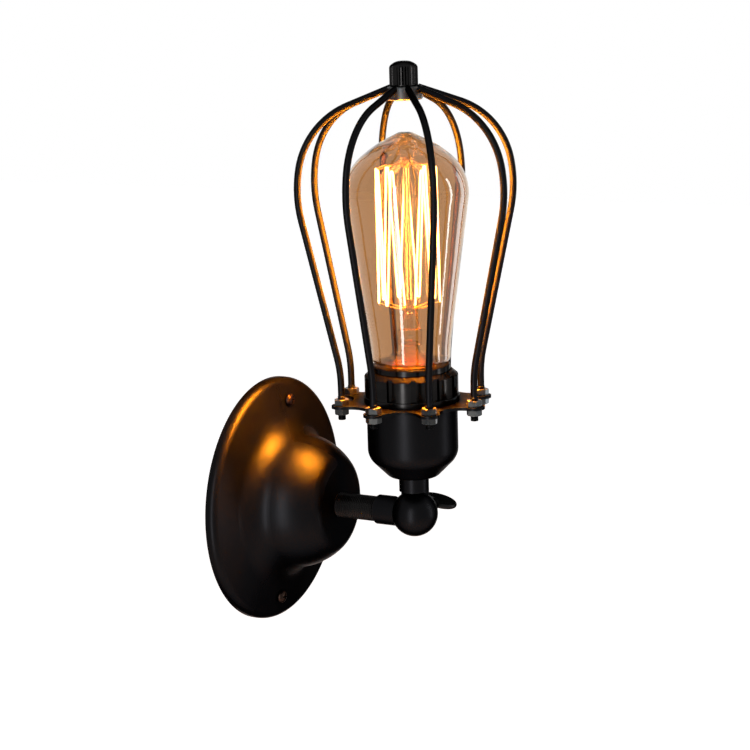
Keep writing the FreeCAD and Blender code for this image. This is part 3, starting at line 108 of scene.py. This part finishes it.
def seen_by_eye(tree, kinds=("Is Glossy Ray", "Is Transmission Ray")):
    """1 for rays from the camera or of the given kinds, and 0 for the ones that light a surface."""
    rays = tree.nodes.new("ShaderNodeLightPath")
    total = rays.outputs["Is Camera Ray"]
    for kind in kinds:
        larger = tree.nodes.new("ShaderNodeMath")
        larger.operation = "MAXIMUM"
        tree.links.new(total, larger.inputs[0])
        tree.links.new(rays.outputs[kind], larger.inputs[1])
        total = larger.outputs[0]
    return total


scene = bpy.context.scene
scene.view_settings.view_transform = "Standard"
world = bpy.data.worlds.new("white_studio")
scene.world = world
world.use_nodes = True
tree = world.node_tree
backdrop = tree.nodes["Background"]
strength = tree.nodes.new("ShaderNodeMapRange")
strength.inputs["To Min"].default_value = WORLD_LIGHT
strength.inputs["To Max"].default_value = BACKGROUND_WHITE
tree.links.new(seen_by_eye(tree), strength.inputs["Value"])
tree.links.new(strength.outputs["Result"], backdrop.inputs["Strength"])
backdrop.inputs["Color"].default_value = (1, 1, 1, 1)
print("world:", world.name)

# %% Soft boxes
LAMP_MIDDLE = Vector((0, -0.0867, 0.05))


def soft_box(name, azimuth, elevation, distance, size, watts, colour=(1, 1, 1)):
    """Rectangular lamp at an azimuth and an elevation, in degrees, that faces the light."""
    out = direction(math.radians(azimuth), math.radians(elevation))
    bpy.ops.object.light_add(type="AREA", location=LAMP_MIDDLE + out * distance,
                             rotation=aimed(out).to_euler())
    lamp = bpy.context.object
    lamp.name = name
    lamp.data.shape = "RECTANGLE"
    lamp.data.size, lamp.data.size_y = size
    lamp.data.energy = watts
    lamp.data.color = colour
    lamp.visible_camera = False
    lamp.visible_transmission = False
    print("soft box:", name)
    return lamp


soft_box("key_strip", -84, -4, 1.3, (0.16, 1.7), 16.0)
soft_box("right_strip", 27, 5, 1.3, (0.10, 1.2), 6.0)
soft_box("cool_fill", 66, 0, 1.4, (0.5, 1.2), 6.0, (0.75, 0.88, 1.0))

# %% Floor
FLOOR_DROP = 0.75
FLOOR_SIZE = 14.0
FLOOR_LIFT = 0.72
FLOOR_COLOUR = (0.9, 0.9, 0.9, 1)
FLOOR_ROUGHNESS = 0.8

bpy.ops.mesh.primitive_plane_add(size=FLOOR_SIZE, location=(0, 0, -FLOOR_DROP))
floor = bpy.context.object
floor.name = "studio_floor"
bpy.ops.object.transform_apply(location=True)
floor_paint = bpy.data.materials.new("pale_floor")
floor_paint.use_nodes = True
floor_shader = floor_paint.node_tree.nodes["Principled BSDF"]
floor_shader.inputs["Base Color"].default_value = FLOOR_COLOUR
floor_shader.inputs["Roughness"].default_value = FLOOR_ROUGHNESS
floor.data.materials.append(floor_paint)

tree = floor_paint.node_tree
lift = tree.nodes.new("ShaderNodeEmission")
lifted = tree.nodes.new("ShaderNodeMath")
lifted.operation = "MULTIPLY"
lifted.inputs[1].default_value = FLOOR_LIFT
tree.links.new(seen_by_eye(tree), lifted.inputs[0])
tree.links.new(lifted.outputs[0], lift.inputs["Strength"])
both = tree.nodes.new("ShaderNodeAddShader")
tree.links.new(floor_shader.outputs["BSDF"], both.inputs[0])
tree.links.new(lift.outputs["Emission"], both.inputs[1])
tree.links.new(both.outputs["Shader"], tree.nodes["Material Output"].inputs["Surface"])

# %% [markdown]
# ## Effects that several finishes share
# Paint, plated steel and moulded plastic all vary a little over their surface: the gloss is not
# even, the edges are rubbed, dust settles on what faces up, and there is a fine texture. Each of
# these is built once as a node group with named sockets, and each material sets its own values.
# The groups give out only masks and heights, and the shaders stay in the materials.

# %% Helpers for node trees


def new_group(name, inputs, outputs):
    """Shader node group with float sockets; returns its tree and its two end nodes."""
    group = bpy.data.node_groups.new(name, "ShaderNodeTree")
    for label, value in inputs.items():
        socket = group.interface.new_socket(label, in_out="INPUT", socket_type="NodeSocketFloat")
        socket.default_value = value
    for label in outputs:
        group.interface.new_socket(label, in_out="OUTPUT", socket_type="NodeSocketFloat")
    return group, group.nodes.new("NodeGroupInput"), group.nodes.new("NodeGroupOutput")


def join(tree, source, target):
    """Link an output socket to an input socket."""
    tree.links.new(source, target)


def maths(tree, operation, first, second, clamp=False):
    """Math node on two values or sockets; returns its output."""
    node = tree.nodes.new("ShaderNodeMath")
    node.operation = operation
    node.use_clamp = clamp
    for value, socket in zip((first, second), node.inputs):
        if isinstance(value, (int, float)):
            socket.default_value = value
        else:
            join(tree, value, socket)
    return node.outputs[0]


def spread(tree, value, low, high, to_low, to_high):
    """Map a value from one range to another, clamped; returns the output."""
    node = tree.nodes.new("ShaderNodeMapRange")
    join(tree, value, node.inputs["Value"])
    for label, number in (("From Min", low), ("From Max", high), ("To Min", to_low), ("To Max", to_high)):
        if isinstance(number, (int, float)):
            node.inputs[label].default_value = number
        else:
            join(tree, number, node.inputs[label])
    return node.outputs["Result"]


def noise(tree, scale, detail=3.0, stretch=None):
    """Noise on Object coordinates; returns its factor output."""
    where = tree.nodes.new("ShaderNodeTexCoord").outputs["Object"]
    if stretch:
        mapping = tree.nodes.new("ShaderNodeMapping")
        mapping.inputs["Scale"].default_value = stretch
        join(tree, where, mapping.inputs["Vector"])
        where = mapping.outputs["Vector"]
    node = tree.nodes.new("ShaderNodeTexNoise")
    node.inputs["Detail"].default_value = detail
    join(tree, where, node.inputs["Vector"])
    if isinstance(scale, (int, float)):
        node.inputs["Scale"].default_value = scale
    else:
        join(tree, scale, node.inputs["Scale"])
    return node.outputs["Fac"]


# %% Uneven gloss
group, ins, outs = new_group("uneven_gloss", {"Scale": 60.0, "Low": 0.3, "High": 0.45}, ["Roughness"])
blotches = noise(group, ins.outputs["Scale"], detail=4.0)
join(group, spread(group, blotches, 0.3, 0.7, ins.outputs["Low"], ins.outputs["High"]),
     outs.inputs["Roughness"])
uneven_gloss = group

# %% Rubbed edges
EDGE_SAMPLES = 4
EDGE_FLAT = 0.995            # agreement of the two normals on a flat face
EDGE_SHARP = 0.9             # the same on a sharp edge

group, ins, outs = new_group("rubbed_edges", {"Reach": 0.0004, "Amount": 1.0, "Breakup": 400.0}, ["Mask"])
softened = group.nodes.new("ShaderNodeBevel")
softened.samples = EDGE_SAMPLES
join(group, ins.outputs["Reach"], softened.inputs["Radius"])
surface = group.nodes.new("ShaderNodeNewGeometry")
agree = group.nodes.new("ShaderNodeVectorMath")
agree.operation = "DOT_PRODUCT"
join(group, softened.outputs["Normal"], agree.inputs[0])
join(group, surface.outputs["Normal"], agree.inputs[1])
edge = spread(group, agree.outputs["Value"], EDGE_FLAT, EDGE_SHARP, 0.0, 1.0)
broken = spread(group, noise(group, ins.outputs["Breakup"], detail=5.0), 0.42, 0.62, 0.0, 1.0)
join(group, maths(group, "MULTIPLY", maths(group, "MULTIPLY", edge, broken), ins.outputs["Amount"]),
     outs.inputs["Mask"])
rubbed_edges = group

# %% Settled dust
group, ins, outs = new_group("settled_dust", {"Amount": 0.5, "Scale": 180.0}, ["Mask"])
facing = group.nodes.new("ShaderNodeTexCoord").outputs["Normal"]
split = group.nodes.new("ShaderNodeSeparateXYZ")
join(group, facing, split.inputs[0])
upward = spread(group, split.outputs["Z"], 0.55, 1.0, 0.0, 1.0)
specks = spread(group, noise(group, ins.outputs["Scale"], detail=8.0), 0.48, 0.72, 0.1, 1.0)
join(group, maths(group, "MULTIPLY", maths(group, "MULTIPLY", upward, specks), ins.outputs["Amount"]),
     outs.inputs["Mask"])
settled_dust = group

# %% Fine texture
group, ins, outs = new_group("fine_texture", {"Scale": 1500.0, "Broad Scale": 120.0, "Broad Share": 0.4},
                             ["Height"])
fine = noise(group, ins.outputs["Scale"], detail=2.0)
broad = maths(group, "MULTIPLY", noise(group, ins.outputs["Broad Scale"], detail=2.0),
              ins.outputs["Broad Share"])
join(group, maths(group, "ADD", fine, broad), outs.inputs["Height"])
fine_texture = group
print("node groups:", [g.name for g in bpy.data.node_groups])

# %% Helpers for finishes


def new_finish(name):
    """Material with a Principled BSDF; returns the material, its tree and the shader."""
    material = bpy.data.materials.new(name)
    material.use_nodes = True
    return material, material.node_tree, material.node_tree.nodes["Principled BSDF"]


def effect(tree, group, **values):
    """One of the shared effects, with its own values; returns its output."""
    node = tree.nodes.new("ShaderNodeGroup")
    node.node_tree = group
    for label, value in values.items():
        node.inputs[label.replace("_", " ")].default_value = value
    return node.outputs[0]


def tint(tree, mask, plain, changed):
    """Colour that goes from plain to changed with a mask; returns the output."""
    node = tree.nodes.new("ShaderNodeMix")
    node.data_type = "RGBA"
    join(tree, mask, node.inputs["Factor"])
    for label, colour in (("A", plain), ("B", changed)):
        socket = [s for s in node.inputs if s.name == label and s.type == "RGBA"][0]
        if isinstance(colour, tuple):
            socket.default_value = (*colour, 1)
        else:
            join(tree, colour, socket)
    return [s for s in node.outputs if s.type == "RGBA"][0]


def bumped(tree, shader, height, strength, distance):
    """Bump from a height, into the shader's normal."""
    node = tree.nodes.new("ShaderNodeBump")
    node.inputs["Strength"].default_value = strength
    node.inputs["Distance"].default_value = distance
    join(tree, height, node.inputs["Height"])
    join(tree, node.outputs["Normal"], shader.inputs["Normal"])


BUMP_DEPTH = 0.0002
DEEPER = 1.5 * BUMP_DEPTH
DIM_EDGE = (0.36, 0.36, 0.36, 1.0)


def settle(shader, **values):
    """Numbers and colours that are the same all over, set on the shader's own sockets."""
    for label, value in values.items():
        shader.inputs[label.replace("_", " ")].default_value = value


# %% [markdown]
# ## Painted and dark metal
# The spun plate, the swivel, the cup, the cage and its plate are powder coated satin black. A
# powder coat is almost smooth, with a faint orange peel, and the highlights it gives are wide
# and soft. The screws are blackened and look brown, and the threads are oiled black. In the
# picture these blacks stay dark even where they are seen at a shallow angle in a white room. A
# very dark metal with a dimmed edge colour gives that, where a plain plastic would turn grey.

# %% Satin black paint
DUST_ROUGHNESS = 0.5         # how much rougher full dust makes the paint

satin_black, tree, shader = new_finish("satin_black_paint")
settle(shader, Metallic=1.0, Specular_Tint=DIM_EDGE)
dust = effect(tree, settled_dust, Amount=0.10, Scale=220.0)
rub = effect(tree, rubbed_edges, Reach=0.0005, Amount=0.45, Breakup=500.0)
colour = tint(tree, dust, (0.0056, 0.0056, 0.0062), (0.03, 0.029, 0.028))
join(tree, tint(tree, rub, colour, (0.025, 0.024, 0.023)), shader.inputs["Base Color"])
gloss = effect(tree, uneven_gloss, Scale=45.0, Low=0.32, High=0.39)
join(tree, maths(tree, "ADD", gloss, maths(tree, "MULTIPLY", dust, DUST_ROUGHNESS), clamp=True),
     shader.inputs["Roughness"])
bumped(tree, shader, effect(tree, fine_texture, Scale=1300.0, Broad_Scale=260.0, Broad_Share=0.8),
       0.10, BUMP_DEPTH)

# %% Black threads, the key and the knob
black_steel, tree, shader = new_finish("black_threaded_steel")
settle(shader, Metallic=1.0, Specular_Tint=DIM_EDGE)
rub = effect(tree, rubbed_edges, Reach=0.00025, Amount=0.25, Breakup=700.0)
join(tree, tint(tree, rub, (0.0120, 0.0115, 0.0115), (0.06, 0.056, 0.052)), shader.inputs["Base Color"])
join(tree, effect(tree, uneven_gloss, Scale=90.0, Low=0.22, High=0.34), shader.inputs["Roughness"])
bumped(tree, shader, effect(tree, fine_texture, Scale=2200.0, Broad_Scale=400.0, Broad_Share=0.5),
       0.12, BUMP_DEPTH)

# %% Blackened screws
brown_screw, tree, shader = new_finish("blackened_screw")
settle(shader, Metallic=1.0, Specular_Tint=DIM_EDGE)
rub = effect(tree, rubbed_edges, Reach=0.0003, Amount=0.35, Breakup=600.0)
join(tree, tint(tree, rub, (0.016, 0.010, 0.008), (0.05, 0.04, 0.03)), shader.inputs["Base Color"])
join(tree, effect(tree, uneven_gloss, Scale=300.0, Low=0.22, High=0.4), shader.inputs["Roughness"])
bumped(tree, shader, effect(tree, fine_texture, Scale=2500.0, Broad_Scale=500.0, Broad_Share=0.5),
       0.15, BUMP_DEPTH)

# %% [markdown]
# ## Bare metal
# The nuts, the hub and the hidden crossbar are zinc plated: a darkened grey metal that is cloudy
# rather than brushed. The lampholder's contacts are brass, and the lamp's cap is thin plated
# brass. A metal's colour is in its reflection, so these are fully metallic, and their life
# comes from uneven gloss and a slight change of colour.

# %% Zinc plate
zinc, tree, shader = new_finish("zinc_steel")
settle(shader, Metallic=1.0)
cloud = spread(tree, noise(tree, 140.0, detail=5.0), 0.35, 0.65, 0.0, 1.0)
colour = tint(tree, cloud, (0.022, 0.024, 0.026), (0.045, 0.045, 0.043))
rub = effect(tree, rubbed_edges, Reach=0.0003, Amount=0.8, Breakup=500.0)
join(tree, tint(tree, rub, colour, (0.18, 0.18, 0.18)), shader.inputs["Base Color"])
join(tree, effect(tree, uneven_gloss, Scale=200.0, Low=0.24, High=0.42), shader.inputs["Roughness"])
bumped(tree, shader, effect(tree, fine_texture, Scale=1800.0, Broad_Scale=500.0, Broad_Share=0.6),
       0.12, BUMP_DEPTH)

# %% Brass and the lamp's cap


def brassy(name, bright, dull, low, high):
    """Brass that is bright in places and dull in others."""
    material, tree, shader = new_finish(name)
    settle(shader, Metallic=1.0)
    tarnish = spread(tree, noise(tree, 220.0, detail=6.0), 0.4, 0.7, 0.0, 1.0)
    join(tree, tint(tree, tarnish, bright, dull), shader.inputs["Base Color"])
    join(tree, effect(tree, uneven_gloss, Scale=250.0, Low=low, High=high), shader.inputs["Roughness"])
    bumped(tree, shader, effect(tree, fine_texture, Scale=2000.0, Broad_Scale=600.0, Broad_Share=0.4),
           0.08, BUMP_DEPTH)
    return material


brass = brassy("brass", (0.78, 0.58, 0.27), (0.50, 0.34, 0.14), 0.16, 0.30)
cap_metal = brassy("bulb_cap_metal", (0.80, 0.66, 0.38), (0.58, 0.45, 0.25), 0.14, 0.26)
bare_wire = brassy("support_wire", (0.58, 0.50, 0.40), (0.40, 0.30, 0.20), 0.25, 0.40)

# %% [markdown]
# ## Moulded parts
# The lampholder and its ring are glossy black thermoset. It is smoother than the paint, and has
# faint flow marks and rubbed rib edges. The terminal block is milky nylon, which lets some light
# in, and the lamp's insulator is black glass.

# %% Black thermoset
thermoset, tree, shader = new_finish("black_bakelite")
settle(shader, Metallic=1.0, Specular_Tint=DIM_EDGE, Coat_Weight=0.04,
       Coat_Roughness=0.08)
rub = effect(tree, rubbed_edges, Reach=0.0004, Amount=0.5, Breakup=350.0)
flow = spread(tree, noise(tree, 40.0, detail=2.0, stretch=(1, 1, 4)), 0.3, 0.7, 0.0, 1.0)
colour = tint(tree, flow, (0.0070, 0.0066, 0.0066), (0.0105, 0.0098, 0.0095))
join(tree, tint(tree, rub, colour, (0.03, 0.029, 0.028)), shader.inputs["Base Color"])
join(tree, effect(tree, uneven_gloss, Scale=80.0, Low=0.16, High=0.26), shader.inputs["Roughness"])
bumped(tree, shader, effect(tree, fine_texture, Scale=900.0, Broad_Scale=150.0, Broad_Share=1.2),
       0.06, DEEPER)

# %% Nylon
nylon, tree, shader = new_finish("nylon")
settle(shader, Specular_IOR_Level=0.45, Subsurface_Weight=0.25, Subsurface_Scale=0.002,
       Subsurface_Radius=(1.0, 0.8, 0.6))
age = spread(tree, noise(tree, 90.0, detail=4.0), 0.35, 0.65, 0.0, 1.0)
join(tree, tint(tree, age, (0.84, 0.83, 0.78), (0.78, 0.75, 0.66)), shader.inputs["Base Color"])
join(tree, effect(tree, uneven_gloss, Scale=150.0, Low=0.38, High=0.52), shader.inputs["Roughness"])
bumped(tree, shader, effect(tree, fine_texture, Scale=1500.0, Broad_Scale=300.0, Broad_Share=0.4),
       0.10, BUMP_DEPTH)

# %% Black glass
vitrite, tree, shader = new_finish("black_vitrite")
settle(shader, Specular_IOR_Level=0.5)
swirl = spread(tree, noise(tree, 160.0, detail=3.0), 0.4, 0.6, 0.0, 1.0)
join(tree, tint(tree, swirl, (0.012, 0.012, 0.016), (0.030, 0.026, 0.034)), shader.inputs["Base Color"])
join(tree, effect(tree, uneven_gloss, Scale=120.0, Low=0.05, High=0.14), shader.inputs["Roughness"])
bumped(tree, shader, effect(tree, fine_texture, Scale=700.0, Broad_Scale=150.0, Broad_Share=0.8),
       0.08, DEEPER)

# %% Basing cement, with painted glow
cement_with_painted_glow, tree, shader = new_finish("basing_cement")
settle(shader, Specular_IOR_Level=0.2)
grain = spread(tree, noise(tree, 600.0, detail=4.0), 0.35, 0.65, 0.0, 1.0)
# The strong orange is partly the cement's own colour and partly painted glow from the lit filament.
join(tree, tint(tree, grain, (0.85, 0.52, 0.10), (0.72, 0.42, 0.07)), shader.inputs["Base Color"])
join(tree, effect(tree, uneven_gloss, Scale=300.0, Low=0.7, High=0.85), shader.inputs["Roughness"])
bumped(tree, shader, effect(tree, fine_texture, Scale=1500.0, Broad_Scale=500.0, Broad_Share=0.5),
       0.2, BUMP_DEPTH)

# %% [markdown]
# ## Glass
# The lamp's glass is tinted amber. Real glass blocks a sampled shadow ray in the renderer, so the
# filament could light the cage only by luck. A Light Path node lets shadow rays straight through
# with the glass's tint instead. The blown tip is wrinkled where it was melted shut, which a bump
# that grows towards the tip gives.

# %% Amber and clear glass
AMBER = (0.60, 0.40, 0.22)
TIP_START = 0.183
TIP_END = 0.196
AMBER_IOR = 1.47
CLEAR_IOR = 1.5
RIPPLE_SHARE = 0.05
TIP_BUMP = 0.6
TIP_BUMP_DEPTH = 0.004


def let_light_through(tree, shader, colour):
    """Shadow rays pass the glass with a tint, everything else meets the shader."""
    rays = tree.nodes.new("ShaderNodeLightPath")
    through = tree.nodes.new("ShaderNodeBsdfTransparent")
    through.inputs["Color"].default_value = (*colour, 1)
    mix = tree.nodes.new("ShaderNodeMixShader")
    join(tree, rays.outputs["Is Shadow Ray"], mix.inputs["Fac"])
    join(tree, shader.outputs["BSDF"], mix.inputs[1])
    join(tree, through.outputs["BSDF"], mix.inputs[2])
    join(tree, mix.outputs["Shader"], tree.nodes["Material Output"].inputs["Surface"])


amber_glass, tree, shader = new_finish("amber_glass")
settle(shader, Transmission_Weight=1.0, IOR=AMBER_IOR, Roughness=0.0)
join(tree, tint(tree, spread(tree, noise(tree, 22.0, detail=2.0), 0.3, 0.7, 0.0, 1.0), AMBER,
                (0.64, 0.44, 0.26)), shader.inputs["Base Color"])
height_above = tree.nodes.new("ShaderNodeSeparateXYZ")
join(tree, tree.nodes.new("ShaderNodeTexCoord").outputs["Object"], height_above.inputs[0])
near_tip = spread(tree, height_above.outputs["Z"], TIP_START, TIP_END, 0.0, 1.0)
wrinkles = maths(tree, "MULTIPLY", noise(tree, 110.0, detail=1.0), near_tip)
ripple = maths(tree, "MULTIPLY", noise(tree, 60.0, detail=1.0), RIPPLE_SHARE)
bumped(tree, shader, maths(tree, "ADD", wrinkles, ripple), TIP_BUMP, TIP_BUMP_DEPTH)
let_light_through(tree, shader, (0.90, 0.80, 0.68))

clear_glass, tree, shader = new_finish("clear_glass")
settle(shader, Transmission_Weight=1.0, IOR=CLEAR_IOR)
join(tree, tint(tree, spread(tree, noise(tree, 120.0), 0.3, 0.7, 0.0, 1.0), (0.98, 0.88, 0.70),
                (0.92, 0.78, 0.56)), shader.inputs["Base Color"])
join(tree, effect(tree, uneven_gloss, Scale=150.0, Low=0.0, High=0.05), shader.inputs["Roughness"])
bumped(tree, shader, noise(tree, 260.0, detail=2.0), 0.35, 0.002)
let_light_through(tree, shader, (0.95, 0.93, 0.9))

# %% [markdown]
# ## The lit filament
# The solid model has the filament as one thin rod. The real one is a fine coil of wire, strung up
# and down between the hooks like the bars of a cage. One coil is made from a small ring with the
# Screw modifier, as a spring is, and then copied to each strand. The loops over the hooks are
# short half rings. The coil shines by itself. A photograph is exposed for the glass rather than for
# the wire, so the wire shows orange to the camera and casts a much stronger light around it.

# %% Glowing wire
SEEN_GLOW = 60.0
CAST_GLOW = 12000.0
CAST_COLOUR = (1.0, 0.36, 0.02)

glowing, tree, shader = new_finish("glowing_filament")
settle(shader, Emission_Strength=SEEN_GLOW, Roughness=0.5)
heat = spread(tree, noise(tree, 55.0, detail=2.0), 0.3, 0.7, 0.0, 1.0)
join(tree, tint(tree, heat, (1.0, 0.56, 0.20), (1.0, 0.64, 0.28)), shader.inputs["Emission Color"])
join(tree, tint(tree, heat, (0.30, 0.16, 0.06), (0.36, 0.20, 0.08)), shader.inputs["Base Color"])
cast = tree.nodes.new("ShaderNodeEmission")
cast.inputs["Color"].default_value = (*CAST_COLOUR, 1)
cast.inputs["Strength"].default_value = CAST_GLOW
mix = tree.nodes.new("ShaderNodeMixShader")
join(tree, seen_by_eye(tree, ("Is Transmission Ray", "Is Singular Ray")), mix.inputs["Fac"])
join(tree, cast.outputs["Emission"], mix.inputs[1])
join(tree, shader.outputs["BSDF"], mix.inputs[2])
join(tree, mix.outputs["Shader"], tree.nodes["Material Output"].inputs["Surface"])

# %% One strand's coil
LAMP_AXIS = Vector((0, -0.0867, 0))
BULB_TURN = math.radians(209.0)
STRANDS = 18
STRAND_CIRCLE = 0.0155
STRAND_LOW = 0.1115
STRAND_HIGH = 0.1780
LOOP_HALF = 0.0006
COIL_RADIUS = 0.00050
COIL_WIRE = 0.00013
COIL_PITCH = 0.00075
COIL_STEPS = 9
COIL_SIDES = 4


def deselect():
    """Nothing selected, so an operator works only on what is added next."""
    bpy.ops.object.select_all(action="DESELECT")


def apply_modifiers(piece):
    """Make every modifier part of the mesh."""
    bpy.context.view_layer.objects.active = piece
    for modifier in list(piece.modifiers):
        bpy.ops.object.modifier_apply(modifier=modifier.name)


deselect()
bpy.ops.mesh.primitive_circle_add(vertices=COIL_SIDES, radius=COIL_WIRE, location=(COIL_RADIUS, 0, 0),
                                  rotation=(math.pi / 2, 0, 0))
coil = bpy.context.object
coil.name = "filament_coil"
bpy.ops.object.transform_apply(location=True, rotation=True)
strand_length = STRAND_HIGH - STRAND_LOW
spring = coil.modifiers.new("spring", "SCREW")
spring.axis = "Z"
spring.screw_offset = COIL_PITCH
spring.iterations = int(strand_length / COIL_PITCH)
spring.steps = COIL_STEPS
spring.render_steps = COIL_STEPS
apply_modifiers(coil)
print("one coil:", len(coil.data.polygons), "faces")

# %% Strands between the hooks


def strand_end(index, side):
    """Where a strand meets the loop at a hook: index counts the hooks and side is -1, 0 or 1."""
    angle = BULB_TURN + (index + 0.5) * 2 * math.pi / (STRANDS + 1)
    outwards = Vector((math.cos(angle), math.sin(angle), 0))
    along = Vector((-math.sin(angle), math.cos(angle), 0))
    height = STRAND_HIGH if index % 2 else STRAND_LOW
    return LAMP_AXIS + outwards * STRAND_CIRCLE + along * LOOP_HALF * side + Vector((0, 0, height))


def put_between(piece, start, end, length):
    """Move and turn a mesh that stands on the origin so that it runs from start to end."""
    run = end - start
    turn = Vector((0, 0, 1)).rotation_difference(run.normalized()).to_matrix().to_4x4()
    stretch = Matrix.Diagonal((1, 1, run.length / length, 1))
    piece.data.transform(Matrix.Translation(start) @ turn @ stretch)


strands = []
coil_length = int(strand_length / COIL_PITCH) * COIL_PITCH
for index in range(STRANDS):
    strand = coil.copy()
    strand.data = coil.data.copy()
    bpy.context.collection.objects.link(strand)
    start = strand_end(index, 1 if index else 0)
    end = strand_end(index + 1, -1 if index < STRANDS - 1 else 0)
    put_between(strand, start, end, coil_length)
    strands.append(strand)
bpy.data.objects.remove(coil)
print("strands:", len(strands))

# %% Loops over the hooks
LOOP_SEGMENTS = 6
LOOP_THICKNESS = 0.7 * COIL_RADIUS
LOOP_SIDES = 8

for index in range(1, STRANDS):
    deselect()
    side = 1 if index % 2 else -1
    angle = BULB_TURN + (index + 0.5) * 2 * math.pi / (STRANDS + 1)
    middle = strand_end(index, 0)
    bpy.ops.mesh.primitive_torus_add(major_radius=LOOP_HALF, minor_radius=LOOP_THICKNESS,
                                     major_segments=2 * LOOP_SEGMENTS, minor_segments=LOOP_SIDES)
    loop = bpy.context.object
    bpy.ops.object.mode_set(mode="EDIT")
    bpy.ops.mesh.select_all(action="SELECT")
    bpy.ops.mesh.bisect(plane_co=(0, 0, 0), plane_no=(0, 1, 0), clear_inner=True)
    bpy.ops.object.mode_set(mode="OBJECT")
    loop.data.transform(Matrix.Translation(middle) @ Matrix.Rotation(angle + math.pi / 2, 4, "Z")
                        @ Matrix.Rotation(side * math.pi / 2, 4, "X"))
    strands.append(loop)

deselect()
for strand in strands:
    strand.select_set(True)
bpy.context.view_layer.objects.active = strands[0]
bpy.ops.object.join()
lit_wire = bpy.context.object
lit_wire.name = "filament_coils"
bpy.ops.object.shade_smooth()
lit_wire.data.materials.clear()
lit_wire.data.materials.append(glowing)
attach(lit_wire, "bulb")
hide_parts("filament")
print("filament triangles:", 2 * len(lit_wire.data.polygons))

# %% [markdown]
# ## Giving every solid its finish
# Each solid has a slot name in the model's record. The material with that name goes on it, so no
# solid is forgotten.

# %% Assign the finishes
FINISHES = {
    "satin_black_paint": satin_black,
    "black_threaded_steel": black_steel,
    "blackened_screw": brown_screw,
    "zinc_steel": zinc,
    "nylon": nylon,
    "brass": brass,
    "black_bakelite": thermoset,
    "amber_glass": amber_glass,
    "clear_glass": clear_glass,
    "bulb_cap_metal": cap_metal,
    "black_vitrite": vitrite,
    "glowing_filament": glowing,
    "support_wire": bare_wire,
    "basing_cement": cement_with_painted_glow,
}
for entry in record["subparts"]:
    for slot in nodes[entry["node"]].material_slots:
        slot.material = FINISHES[entry["material_slot"]]
print("finished nodes:", len(record["subparts"]))
